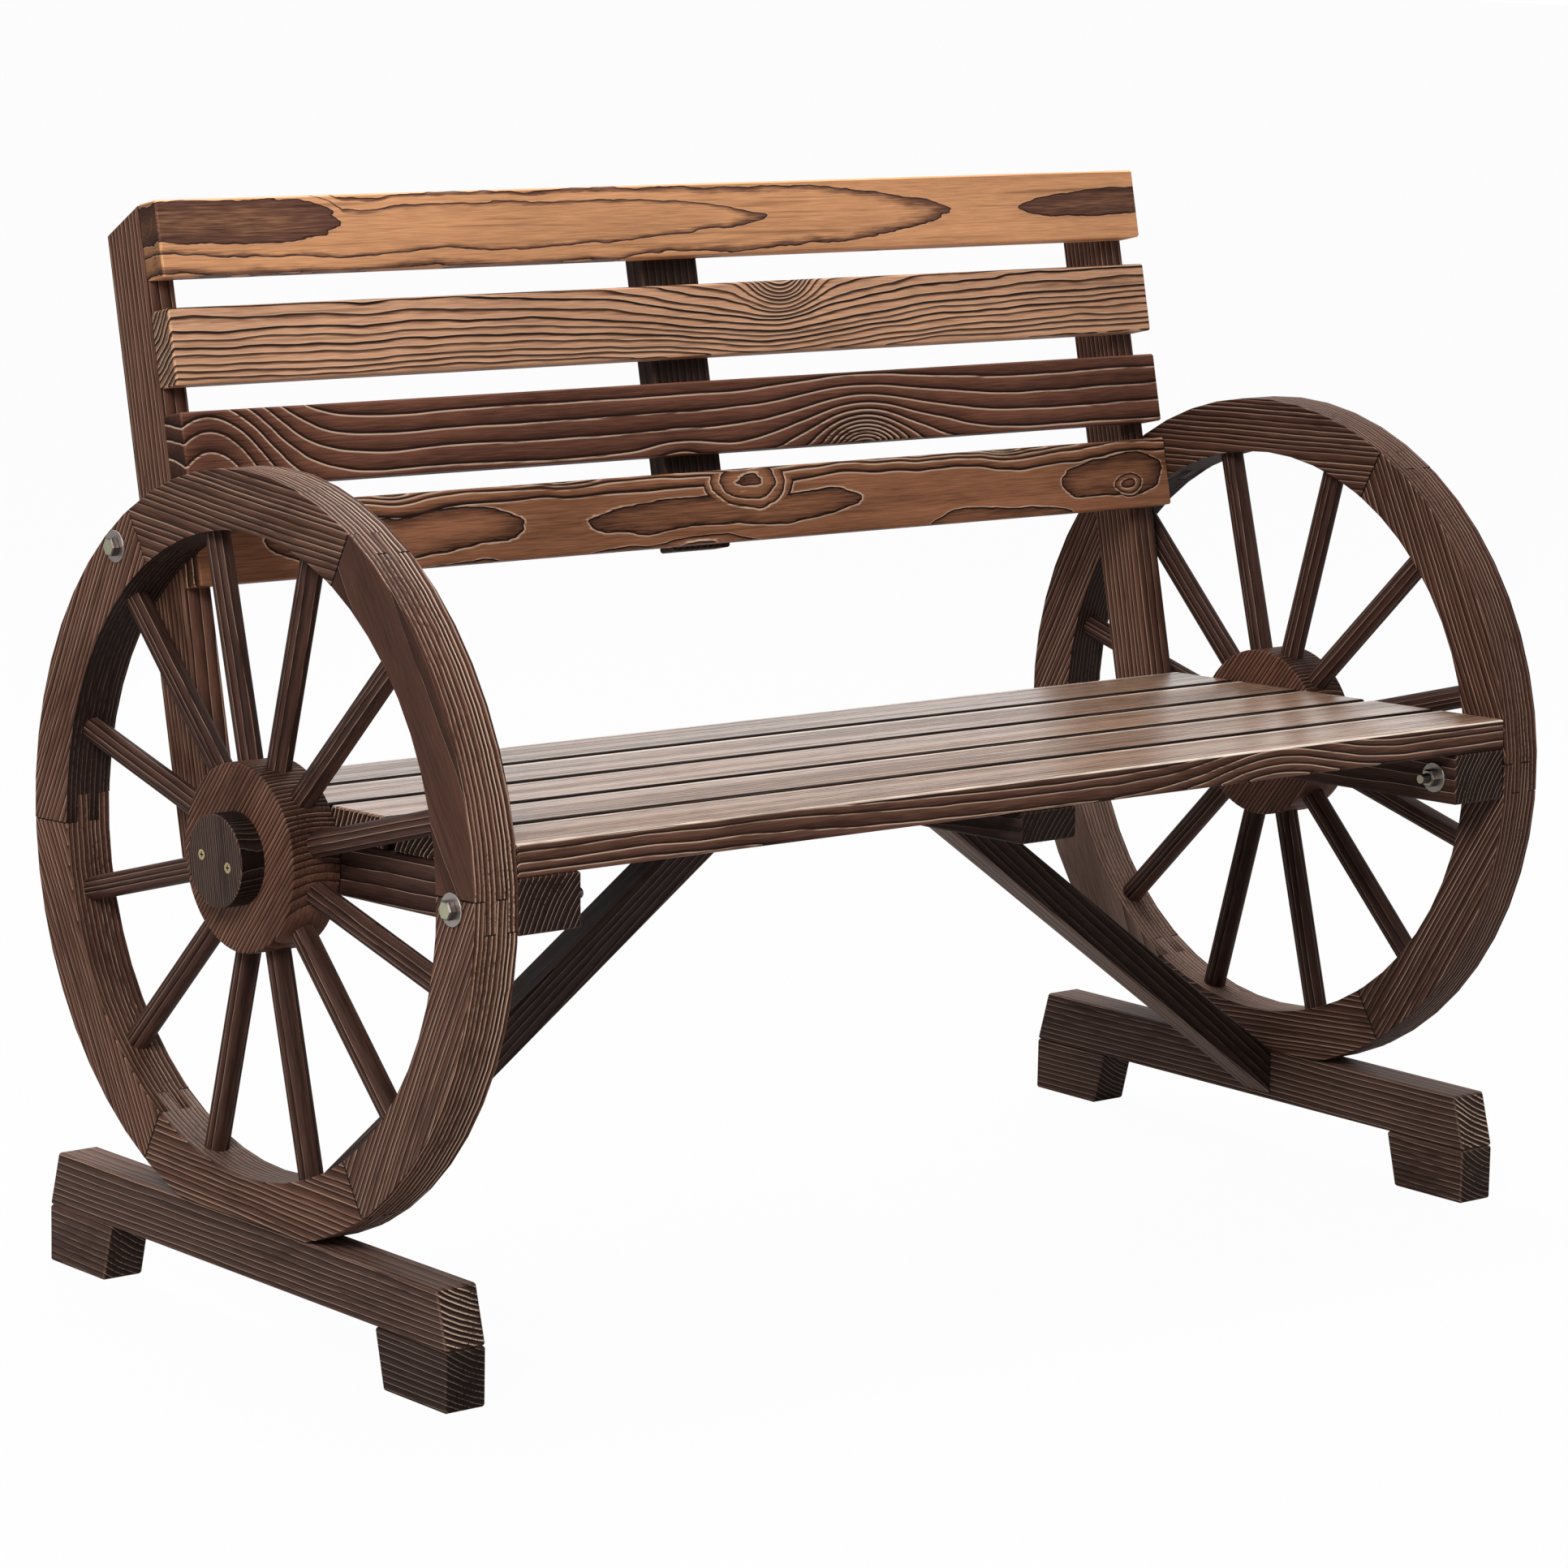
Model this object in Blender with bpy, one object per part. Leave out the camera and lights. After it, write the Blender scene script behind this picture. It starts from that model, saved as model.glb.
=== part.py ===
"""Wagon wheel bench: two felloe wheels on skids carry a slatted seat and back.

Metres, +Z up, X along the bench, front towards -Y, floor at Z = 0.
"""

import bmesh
import bpy
from math import asin, atan2, cos, hypot, pi, radians, sin, sqrt
from mathutils import Matrix, Vector

# Clearance between touching pieces, and how far a cutter passes its work.
GAP = 0.0003
PASS = 0.010

# Bench: half of the slat length, which is also the inner face of each wheel.
HALF_LENGTH = 0.492

# Wheel: rim of six felloes, finger joints of four layers, twelve spokes.
RIM_RADIUS = 0.280
RIM_WIDTH = 0.044
RIM_THICKNESS = 0.038
FELLOES = 6
FELLOE_STEPS = 10
JOINT_LAYERS = 4
FINGER_HALF_ANGLE = radians(2.5)
FLAT_HALF_LENGTH = 0.081
SPOKES_PER_FELLOE = 2
SPOKE_HUB_RADIUS = 0.0088
SPOKE_RIM_RADIUS = 0.0082
SPOKE_SIDES = 14
SPOKE_TENON = 0.016
HUB_RADIUS = 0.0695
HUB_PROUD = 0.004
HUB_SIDES = 40
HUB_CHAMFER = 0.0012

# Hub cap and its two wood screws.
CAP_RADIUS = 0.0343
CAP_THICKNESS = 0.020
CAP_CHAMFER = 0.001
CAP_SIDES = 32
SCREW_OFFSET = 0.0168
SCREW_TILT = radians(-8.0)
SCREW_HEAD_RADIUS = 0.0040
SCREW_HEAD_HEIGHT = 0.0026
SCREW_SHANK_RADIUS = 0.0018
SCREW_LENGTH = 0.040
SCREW_SIDES = 12
RECESS_LENGTH = 0.0044
RECESS_WIDTH = 0.0011
RECESS_DEPTH = 0.0012

# Skid: a rail under each wheel on two foot blocks.
SKID_CENTRE_Y = 0.007
RAIL_WIDTH = 0.035
RAIL_HEIGHT = 0.043
RAIL_HALF_BOTTOM = 0.257
RAIL_END_SLANT = 0.012
BLOCK_HEIGHT = 0.044
BLOCK_TOP_LENGTH = 0.086
BLOCK_SLANT = 0.011

# Seat: five slats on two bearers and a middle batten, tipped back a little.
SEAT_FRONT_INSET = 0.0022
SEAT_TILT = radians(-1.55)
SLAT_THICKNESS = 0.024
SEAT_SLATS = 5
SEAT_SLAT_WIDTH = 0.0692
SEAT_SLAT_GAP = 0.008
BEARER_WIDTH = 0.055
BEARER_HEIGHT = 0.040
BATTEN_WIDTH = 0.055
BATTEN_THICKNESS = 0.024

# Back: four slats on two leaning posts and a middle batten.
RECLINE = radians(12.5)
BACK_RISE = 0.451
BACK_SLAT_WIDTH = 0.057
BACK_SLAT_GAPS = (0.023, 0.020, 0.0145)
POST_WIDTH = 0.025
POST_DEPTH = 0.046
POST_TOP_DROP = 0.016
BACK_BATTEN_WIDTH = 0.057
BACK_BATTEN_DEPTH = 0.021
BACK_BATTEN_INSET = 0.012
BACK_BATTEN_SHOW = 0.003

# Braces from the rails to the middle of the seat.
BRACE_WIDTH = 0.0305
BRACE_THICKNESS = 0.030
BRACE_CENTRE_Y = -0.0135
BRACE_DROP = 0.0005
BRACE_OFFSET = 0.014

# Coach hardware: hex bolts, washers and nuts.
FRONT_BOLT_ANGLE = radians(0.85)
FRONT_BOLT_INSET = 0.0244
REAR_BOLT_INSET = 0.0144
BOLT_RADIUS = 0.004
BOLT_SIDES = 16
HEX_RADIUS = 0.0075
HEAD_HEIGHT = 0.0053
NUT_HEIGHT = 0.0065
BOLT_END = 0.008
WASHER_RADIUS = 0.012
WASHER_THICKNESS = 0.0016
WASHER_SIDES = 20

# Small worn chamfer on the sawn boards.
BOARD_EDGE = 0.0015

# Places that follow from the sizes above.
RIM_BORE = RIM_RADIUS - RIM_WIDTH
RIM_INNER_X = HALF_LENGTH + GAP
RIM_OUTER_X = RIM_INNER_X + RIM_THICKNESS
RIM_MIDDLE_X = RIM_INNER_X + RIM_THICKNESS / 2
RAIL_BOTTOM = BLOCK_HEIGHT + GAP
RAIL_TOP = RAIL_BOTTOM + RAIL_HEIGHT
FLAT_Z = RAIL_TOP + GAP
WHEEL_Z = FLAT_Z + sqrt(RIM_RADIUS ** 2 - FLAT_HALF_LENGTH ** 2)
FELLOE_ANGLE = 2 * pi / FELLOES
SPOKE_ANGLE = FELLOE_ANGLE / SPOKES_PER_FELLOE
SOCKET_END = RIM_BORE + SPOKE_TENON
SEAT_DEPTH = SEAT_SLATS * SEAT_SLAT_WIDTH + (SEAT_SLATS - 1) * SEAT_SLAT_GAP
UNDER_SLATS = -SLAT_THICKNESS - GAP
BEARER_BOTTOM = UNDER_SLATS - BEARER_HEIGHT
BEARER_MIDDLE = UNDER_SLATS - BEARER_HEIGHT / 2
BATTEN_BOTTOM = UNDER_SLATS - BATTEN_THICKNESS
FRONT_BOLT_Y = -(RIM_RADIUS - FRONT_BOLT_INSET) * cos(FRONT_BOLT_ANGLE)
FRONT_BOLT_Z = WHEEL_Z + (RIM_RADIUS - FRONT_BOLT_INSET) * sin(FRONT_BOLT_ANGLE)
REAR_BOLT_RADIUS = RIM_RADIUS - REAR_BOLT_INSET
SEAT_FRONT_Y = -RIM_RADIUS + SEAT_FRONT_INSET
BOLT_ALONG = (FRONT_BOLT_Y - SEAT_FRONT_Y + BEARER_MIDDLE * sin(SEAT_TILT)) / cos(SEAT_TILT)
SEAT_HEIGHT = FRONT_BOLT_Z - BOLT_ALONG * sin(SEAT_TILT) - BEARER_MIDDLE * cos(SEAT_TILT)
HUB_OUTER_X = RIM_OUTER_X + HUB_PROUD
CAP_OUTER_X = HUB_OUTER_X + GAP + CAP_THICKNESS

SIDES = (("left", -1), ("right", 1))


def clear_scene():
    for item in list(bpy.data.objects):
        bpy.data.objects.remove(item, do_unlink=True)


def make_material(name, colour, roughness, metallic=0.0):
    material = bpy.data.materials.new(name)
    material.use_nodes = True
    shader = material.node_tree.nodes["Principled BSDF"]
    shader.inputs["Base Color"].default_value = (*colour, 1.0)
    shader.inputs["Roughness"].default_value = roughness
    shader.inputs["Metallic"].default_value = metallic
    return material


def seat_point(along, above):
    """Y and Z of a point in the seat's own plane, from its front top edge."""
    y = SEAT_FRONT_Y + along * cos(SEAT_TILT) - above * sin(SEAT_TILT)
    z = SEAT_HEIGHT + along * sin(SEAT_TILT) + above * cos(SEAT_TILT)
    return y, z


def back_point(up, behind):
    """Y and Z of a point of the back, from the foot of the posts' front face."""
    foot_y, foot_z = seat_point(SEAT_DEPTH + GAP / cos(RECLINE), -SLAT_THICKNESS)
    y = foot_y + up * sin(RECLINE) + behind * cos(RECLINE)
    z = foot_z + up * cos(RECLINE) - behind * sin(RECLINE)
    return y, z


def seat_at_back(above, behind):
    """Where a line of the seat's plane meets a plane that leans with the back."""
    foot_y, foot_z = back_point(0.0, behind)
    line_y, line_z = seat_point(0.0, above)
    reach = (foot_y - line_y) * cos(RECLINE) - (foot_z - line_z) * sin(RECLINE)
    return seat_point(reach / cos(SEAT_TILT + RECLINE), above)


def wheel_point(radius, angle):
    """Y and Z about the wheel's centre, from the front over the top."""
    return -radius * cos(angle), radius * sin(angle)


def finish_mesh(name, bm, material, smooth=False):
    bmesh.ops.remove_doubles(bm, verts=bm.verts, dist=0.00001)
    bmesh.ops.recalc_face_normals(bm, faces=bm.faces)
    mesh = bpy.data.meshes.new(name)
    bm.to_mesh(mesh)
    bm.free()
    if smooth:
        mesh.shade_smooth()
        mesh.set_sharp_from_angle(angle=radians(30.0))
    piece = bpy.data.objects.new(name, mesh)
    bpy.context.scene.collection.objects.link(piece)
    if material is not None:
        mesh.materials.append(material)
    return piece


def mark_cutter(piece):
    piece.hide_render = True
    piece.display_type = "WIRE"
    return piece


def extrude_outline(bm, points, offset):
    face = bm.faces.new([bm.verts.new(point) for point in points])
    grown = bmesh.ops.extrude_face_region(bm, geom=[face])
    moved = [item for item in grown["geom"] if isinstance(item, bmesh.types.BMVert)]
    bmesh.ops.translate(bm, verts=moved, vec=offset)


def prism_x(name, outline, x_start, x_end, material):
    """A board whose side outline in Y and Z is drawn out along X."""
    bm = bmesh.new()
    points = [(x_start, y, z) for y, z in outline]
    extrude_outline(bm, points, (x_end - x_start, 0.0, 0.0))
    return finish_mesh(name, bm, material)


def turned(bm, profile, steps, matrix):
    """Spin a profile of (along X, radius) points about X, and place it."""
    before = set(bm.verts)
    ring = [bm.verts.new((along, radius, 0.0)) for along, radius in profile]
    edges = [bm.edges.new(pair) for pair in zip(ring, ring[1:])]
    bmesh.ops.spin(bm, geom=ring + edges, cent=(0, 0, 0), axis=(1, 0, 0), angle=2 * pi, steps=steps)
    added = [vert for vert in bm.verts if vert not in before]
    bmesh.ops.remove_doubles(bm, verts=added, dist=0.000001)
    added = [vert for vert in bm.verts if vert not in before]
    bmesh.ops.transform(bm, matrix=matrix, verts=added)


def soften(piece, width=BOARD_EDGE):
    bevel = piece.modifiers.new("worn_edges", "BEVEL")
    bevel.width = width
    bevel.segments = 1
    bevel.limit_method = "ANGLE"
    bevel.angle_limit = radians(30.0)
    return piece


def boolean(piece, cutter, operation="DIFFERENCE"):
    modifier = piece.modifiers.new(cutter.name, "BOOLEAN")
    modifier.operation = operation
    modifier.solver = "EXACT"
    modifier.object = cutter
    return piece


def applied_mesh(piece, name):
    graph = bpy.context.evaluated_depsgraph_get()
    mesh = bpy.data.meshes.new_from_object(piece.evaluated_get(graph))
    mesh.name = name
    return mesh


def sector(start, end, inner, outer, steps):
    """Closed outline of a ring's sector between two angles."""
    angles = [start + (end - start) * step / steps for step in range(steps + 1)]
    rim = [wheel_point(outer, angle) for angle in angles]
    bore = [wheel_point(inner, angle) for angle in reversed(angles)]
    return rim + bore


def layer_edge(index):
    return -RIM_THICKNESS / 2 + index * RIM_THICKNESS / JOINT_LAYERS


def finger_slots(name, joint_angle, start, end, first_layer):
    """Cutter for the slots between fingers at one end of a felloe."""
    bm = bmesh.new()
    inner = RIM_BORE - PASS
    outer = RIM_RADIUS + PASS
    outline = sector(joint_angle + start, joint_angle + end, inner, outer, 1)
    for layer in range(first_layer, JOINT_LAYERS, 2):
        low = layer_edge(layer) - (PASS if layer == 0 else GAP / 2)
        high = layer_edge(layer + 1) + (PASS if layer == JOINT_LAYERS - 1 else GAP / 2)
        extrude_outline(bm, [(low, y, z) for y, z in outline], (high - low, 0.0, 0.0))
    return mark_cutter(finish_mesh(name, bm, None))


def radial_matrix(angle):
    """Turns the X axis to point out of the hub at the given angle."""
    y, z = wheel_point(1.0, angle)
    return Vector((0.0, y, z)).to_track_quat("X", "Y").to_matrix().to_4x4()


def spoke_angles(count):
    return [SPOKE_ANGLE * (index + 0.5) for index in range(count)]


def felloe_mesh(material):
    """One felloe between angle 0 and its neighbour, with fingers and spoke sockets."""
    half_gap = GAP / 2 / RIM_BORE
    low = -FINGER_HALF_ANGLE + half_gap
    high = FELLOE_ANGLE + FINGER_HALF_ANGLE - half_gap
    outline = sector(low, high, RIM_BORE, RIM_RADIUS, FELLOE_STEPS)
    blank = prism_x("felloe_blank", outline, -RIM_THICKNESS / 2, RIM_THICKNESS / 2, material)
    far = 2 * FINGER_HALF_ANGLE
    start_slots = finger_slots("cut_start_fingers", 0.0, -far, FINGER_HALF_ANGLE + half_gap, 0)
    end_slots = finger_slots("cut_end_fingers", FELLOE_ANGLE, -FINGER_HALF_ANGLE - half_gap, far, 1)
    bm = bmesh.new()
    socket = [(RIM_BORE - PASS, 0.0), (RIM_BORE - PASS, SPOKE_RIM_RADIUS + GAP)]
    socket += [(SOCKET_END, SPOKE_RIM_RADIUS + GAP), (SOCKET_END, 0.0)]
    for angle in spoke_angles(SPOKES_PER_FELLOE):
        turned(bm, socket, SPOKE_SIDES, radial_matrix(angle))
    sockets = mark_cutter(finish_mesh("cut_spoke_sockets", bm, None))
    for cutter in (start_slots, end_slots, sockets):
        boolean(blank, cutter)
    mesh = applied_mesh(blank, "felloe")
    mesh.shade_smooth()
    mesh.set_sharp_from_angle(angle=radians(30.0))
    for scrap in (blank, start_slots, end_slots, sockets):
        bpy.data.objects.remove(scrap, do_unlink=True)
    return mesh


def make_felloes(materials, side_name, side, bolt_cutter):
    mesh = felloe_mesh(materials["wheel"])
    flat = prism_x(
        f"cut_{side_name}_rim_flat",
        [(-RIM_RADIUS, 0.0), (RIM_RADIUS, 0.0), (RIM_RADIUS, FLAT_Z), (-RIM_RADIUS, FLAT_Z)],
        side * (RIM_INNER_X - PASS),
        side * (RIM_OUTER_X + PASS),
        None,
    )
    mark_cutter(flat)
    for index in range(FELLOES):
        felloe = bpy.data.objects.new(f"felloe_{side_name}_{index + 1}", mesh.copy())
        bpy.context.scene.collection.objects.link(felloe)
        felloe.location = (side * RIM_MIDDLE_X, 0.0, WHEEL_Z)
        felloe.rotation_euler = (-index * FELLOE_ANGLE, 0.0, 0.0)
        boolean(felloe, bolt_cutter)
        boolean(felloe, flat)


def make_spoked_hub(materials, side_name, side):
    """Hub with its spokes glued in, and the pilot holes of the cap screws."""
    bm = bmesh.new()
    inner = RIM_INNER_X - RIM_MIDDLE_X
    outer = HUB_OUTER_X - RIM_MIDDLE_X
    profile = [(outer, 0.0), (outer, HUB_RADIUS - HUB_CHAMFER), (outer - HUB_CHAMFER, HUB_RADIUS)]
    profile += [(inner + HUB_CHAMFER, HUB_RADIUS), (inner, HUB_RADIUS - HUB_CHAMFER), (inner, 0.0)]
    turned(bm, profile, HUB_SIDES, Matrix.Identity(4))
    hub = finish_mesh(f"spoked_hub_{side_name}", bm, materials["wheel"], smooth=True)
    bm = bmesh.new()
    root = HUB_RADIUS - SPOKE_TENON
    tip = SOCKET_END - GAP
    spoke = [(root, 0.0), (root, SPOKE_HUB_RADIUS), (HUB_RADIUS, SPOKE_HUB_RADIUS)]
    spoke += [(RIM_BORE, SPOKE_RIM_RADIUS), (tip, SPOKE_RIM_RADIUS), (tip, 0.0)]
    for angle in spoke_angles(FELLOES * SPOKES_PER_FELLOE):
        turned(bm, spoke, SPOKE_SIDES, radial_matrix(angle))
    spokes = mark_cutter(finish_mesh(f"join_{side_name}_spokes", bm, None, smooth=True))
    place = Matrix.Translation((side * RIM_MIDDLE_X, 0.0, WHEEL_Z))
    if side < 0:
        place = place @ Matrix.Rotation(pi, 4, "Z")
    hub.matrix_world = place
    spokes.matrix_world = place
    return boolean(hub, spokes, "UNION")


def screw_places(side):
    y, z = wheel_point(SCREW_OFFSET, SCREW_TILT)
    return [(side * CAP_OUTER_X, sign * y, WHEEL_Z + sign * z) for sign in (1, -1)]


def facing(side, place):
    """Matrix that points local +X out of the bench at the given side."""
    turn = Matrix.Identity(4) if side > 0 else Matrix.Rotation(pi, 4, "Z")
    return Matrix.Translation(place) @ turn


def make_hub_cap(materials, side_name, side, hub):
    bm = bmesh.new()
    profile = [(0.0, 0.0), (0.0, CAP_RADIUS - CAP_CHAMFER), (-CAP_CHAMFER, CAP_RADIUS)]
    profile += [(-CAP_THICKNESS, CAP_RADIUS), (-CAP_THICKNESS, 0.0)]
    turned(bm, profile, CAP_SIDES, facing(side, (side * CAP_OUTER_X, 0.0, WHEEL_Z)))
    cap = finish_mesh(f"hub_cap_{side_name}", bm, materials["cap"], smooth=True)
    bm = bmesh.new()
    hole = [(PASS, 0.0), (PASS, SCREW_HEAD_RADIUS + GAP), (0.0, SCREW_HEAD_RADIUS + GAP)]
    hole += [(-SCREW_HEAD_HEIGHT - GAP, SCREW_SHANK_RADIUS + GAP)]
    hole += [(-SCREW_LENGTH - GAP, SCREW_SHANK_RADIUS + GAP), (-SCREW_LENGTH - GAP, 0.0)]
    for place in screw_places(side):
        turned(bm, hole, SCREW_SIDES, facing(side, place))
    holes = mark_cutter(finish_mesh(f"cut_{side_name}_screws", bm, None))
    boolean(cap, holes)
    boolean(hub, holes)


def make_cap_screws(materials, side_name, side):
    for index, place in enumerate(screw_places(side)):
        bm = bmesh.new()
        profile = [(0.0, 0.0), (0.0, SCREW_HEAD_RADIUS), (-SCREW_HEAD_HEIGHT, SCREW_SHANK_RADIUS)]
        profile += [(-SCREW_LENGTH, SCREW_SHANK_RADIUS), (-SCREW_LENGTH, 0.0)]
        turned(bm, profile, SCREW_SIDES, facing(side, place))
        screw = finish_mesh(f"cap_screw_{side_name}_{index + 1}", bm, materials["brass"], smooth=True)
        for turn, arm in enumerate(((RECESS_LENGTH, RECESS_WIDTH), (RECESS_WIDTH, RECESS_LENGTH))):
            bm = bmesh.new()
            size = Matrix.Diagonal((2 * RECESS_DEPTH, arm[0], arm[1], 1.0))
            bmesh.ops.create_cube(bm, size=1.0, matrix=Matrix.Translation(place) @ size)
            slot = finish_mesh(f"cut_{side_name}_recess_{index + 1}_{turn + 1}", bm, None)
            boolean(screw, mark_cutter(slot))


def rear_bolt_place():
    """Where the post's middle line crosses the bolt circle at the rear."""
    foot_y, foot_z = back_point(0.0, POST_DEPTH / 2)
    rise_y, rise_z = foot_y, foot_z - WHEEL_Z
    along = rise_y * sin(RECLINE) + rise_z * cos(RECLINE)
    reach = -along + sqrt(along ** 2 + REAR_BOLT_RADIUS ** 2 - rise_y ** 2 - rise_z ** 2)
    return back_point(reach, POST_DEPTH / 2)


def bolt_places():
    front = ("front", (FRONT_BOLT_Y, FRONT_BOLT_Z), HALF_LENGTH - BEARER_WIDTH)
    rear = ("rear", rear_bolt_place(), HALF_LENGTH - POST_WIDTH)
    return front, rear


def make_bolt_cutter(side_name, side):
    """Cutter for both bolt holes of one side, through the rim and what it carries."""
    bm = bmesh.new()
    for _, (y, z), inner_x in bolt_places():
        length = RIM_OUTER_X - inner_x + 2 * PASS
        radius = BOLT_RADIUS + GAP
        bore = [(length, 0.0), (length, radius), (0.0, radius), (0.0, 0.0)]
        turned(bm, bore, BOLT_SIDES, facing(side, (side * (inner_x - PASS), y, z)))
    return mark_cutter(finish_mesh(f"cut_{side_name}_bolts", bm, None))


def make_washer(name, x_start, side, y, z, material):
    bm = bmesh.new()
    bore = BOLT_RADIUS + GAP
    profile = [(0.0, bore), (0.0, WASHER_RADIUS), (WASHER_THICKNESS, WASHER_RADIUS)]
    profile += [(WASHER_THICKNESS, bore), (0.0, bore)]
    turned(bm, profile, WASHER_SIDES, facing(side, (side * x_start, y, z)))
    return finish_mesh(name, bm, material, smooth=True)


def hexagon(bm, height, matrix):
    """Hexagonal prism from the origin along +X, with turned-down corners."""
    chamfer = height / 6
    profile = [(0.0, 0.0), (0.0, HEX_RADIUS), (height - chamfer, HEX_RADIUS)]
    profile += [(height, HEX_RADIUS * cos(pi / 6)), (height, 0.0)]
    turned(bm, profile, 6, matrix)


def make_bolts(materials, side_name, side):
    zinc = materials["zinc"]
    for place_name, (y, z), inner_x in bolt_places():
        label = f"{place_name}_{side_name}"
        washer_x = RIM_OUTER_X + GAP
        make_washer(f"head_washer_{label}", washer_x, side, y, z, zinc)
        head_x = washer_x + WASHER_THICKNESS + GAP
        nut_washer_x = inner_x - GAP - WASHER_THICKNESS
        make_washer(f"nut_washer_{label}", nut_washer_x, side, y, z, zinc)
        nut_x = nut_washer_x - GAP
        end_x = nut_x - NUT_HEIGHT - BOLT_END
        bm = bmesh.new()
        hexagon(bm, HEAD_HEIGHT, facing(side, (side * head_x, y, z)))
        bolt = finish_mesh(f"hex_bolt_{label}", bm, zinc, smooth=True)
        bm = bmesh.new()
        length = head_x - end_x
        shank = [(HEAD_HEIGHT / 2, 0.0), (HEAD_HEIGHT / 2, BOLT_RADIUS), (-length, BOLT_RADIUS), (-length, 0.0)]
        turned(bm, shank, BOLT_SIDES, facing(side, (side * head_x, y, z)))
        boolean(bolt, mark_cutter(finish_mesh(f"join_{label}_shank", bm, None, smooth=True)), "UNION")
        bm = bmesh.new()
        hexagon(bm, NUT_HEIGHT, facing(-side, (side * nut_x, y, z)))
        nut = finish_mesh(f"hex_nut_{label}", bm, zinc, smooth=True)
        bm = bmesh.new()
        bore = [(PASS, 0.0), (PASS, BOLT_RADIUS + GAP), (-2 * PASS, BOLT_RADIUS + GAP), (-2 * PASS, 0.0)]
        turned(bm, bore, BOLT_SIDES, facing(side, (side * nut_x, y, z)))
        boolean(nut, mark_cutter(finish_mesh(f"cut_{label}_nut", bm, None)))


def make_skid(materials, side_name, side):
    wood = materials["skid"]
    inner = side * (RIM_MIDDLE_X - RAIL_WIDTH / 2)
    outer = side * (RIM_MIDDLE_X + RAIL_WIDTH / 2)
    half_top = RAIL_HALF_BOTTOM - RAIL_END_SLANT
    outline = [(SKID_CENTRE_Y - RAIL_HALF_BOTTOM, RAIL_BOTTOM), (SKID_CENTRE_Y + RAIL_HALF_BOTTOM, RAIL_BOTTOM)]
    outline += [(SKID_CENTRE_Y + half_top, RAIL_TOP), (SKID_CENTRE_Y - half_top, RAIL_TOP)]
    soften(prism_x(f"skid_rail_{side_name}", outline, inner, outer, wood))
    for end_name, end in (("front", -1), ("rear", 1)):
        out_y = SKID_CENTRE_Y + end * RAIL_HALF_BOTTOM
        in_top = out_y - end * BLOCK_TOP_LENGTH
        in_bottom = in_top + end * BLOCK_SLANT
        outline = [(out_y, 0.0), (out_y, BLOCK_HEIGHT), (in_top, BLOCK_HEIGHT), (in_bottom, 0.0)]
        soften(prism_x(f"foot_block_{end_name}_{side_name}", outline, inner, outer, wood))


def board_outline(start, end, low, high, place):
    corners = ((start, low), (end, low), (end, high), (start, high))
    return [place(along, across) for along, across in corners]


def make_seat(materials):
    wood = materials["seat"]
    for index in range(SEAT_SLATS):
        start = index * (SEAT_SLAT_WIDTH + SEAT_SLAT_GAP)
        outline = board_outline(start, start + SEAT_SLAT_WIDTH, -SLAT_THICKNESS, 0.0, seat_point)
        soften(prism_x(f"seat_slat_{index + 1}", outline, -HALF_LENGTH, HALF_LENGTH, wood))
    outline = board_outline(0.0, SEAT_DEPTH, BATTEN_BOTTOM, UNDER_SLATS, seat_point)
    soften(prism_x("seat_batten", outline, -BATTEN_WIDTH / 2, BATTEN_WIDTH / 2, materials["under"]))


def make_bearer(materials, side_name, side, bolt_cutter):
    """Side bearer, cut back at its rear end so that the post laps on it."""
    outline = [seat_point(0.0, UNDER_SLATS), seat_at_back(UNDER_SLATS, POST_DEPTH)]
    outline += [seat_at_back(BEARER_BOTTOM, POST_DEPTH), seat_point(0.0, BEARER_BOTTOM)]
    inner = side * (HALF_LENGTH - BEARER_WIDTH)
    bearer = prism_x(f"seat_bearer_{side_name}", outline, inner, side * HALF_LENGTH, materials["under"])
    lap = [seat_at_back(UNDER_SLATS + PASS, -GAP), seat_at_back(UNDER_SLATS + PASS, POST_DEPTH + PASS)]
    lap += [seat_at_back(BEARER_BOTTOM - PASS, POST_DEPTH + PASS), seat_at_back(BEARER_BOTTOM - PASS, -GAP)]
    lap_x = side * (HALF_LENGTH - POST_WIDTH - GAP)
    cutter = prism_x(f"cut_{side_name}_post_lap", lap, lap_x, side * (HALF_LENGTH + PASS), None)
    soften(bearer)
    boolean(bearer, mark_cutter(cutter))
    boolean(bearer, bolt_cutter)


def make_post(materials, side_name, side, bolt_cutter):
    outline = [back_point(BACK_RISE, 0.0), back_point(BACK_RISE - POST_TOP_DROP, POST_DEPTH)]
    outline += [seat_at_back(BEARER_BOTTOM, POST_DEPTH), seat_at_back(BEARER_BOTTOM, 0.0)]
    inner = side * (HALF_LENGTH - POST_WIDTH)
    post = prism_x(f"back_post_{side_name}", outline, inner, side * HALF_LENGTH, materials["post"])
    soften(post)
    boolean(post, bolt_cutter)


def make_back(materials):
    top = BACK_RISE
    bottom = top
    for index in range(len(BACK_SLAT_GAPS) + 1):
        bottom = top - BACK_SLAT_WIDTH
        outline = board_outline(bottom, top, -GAP - SLAT_THICKNESS, -GAP, back_point)
        wood = materials["top_slat"] if index == 0 else materials["back"]
        soften(prism_x(f"back_slat_{index + 1}", outline, -HALF_LENGTH, HALF_LENGTH, wood))
        if index < len(BACK_SLAT_GAPS):
            top = bottom - BACK_SLAT_GAPS[index]
    low = bottom - BACK_BATTEN_SHOW
    outline = board_outline(low, BACK_RISE - BACK_BATTEN_INSET, 0.0, BACK_BATTEN_DEPTH, back_point)
    soften(prism_x("back_batten", outline, -BACK_BATTEN_WIDTH / 2, BACK_BATTEN_WIDTH / 2, materials["post"]))


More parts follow.
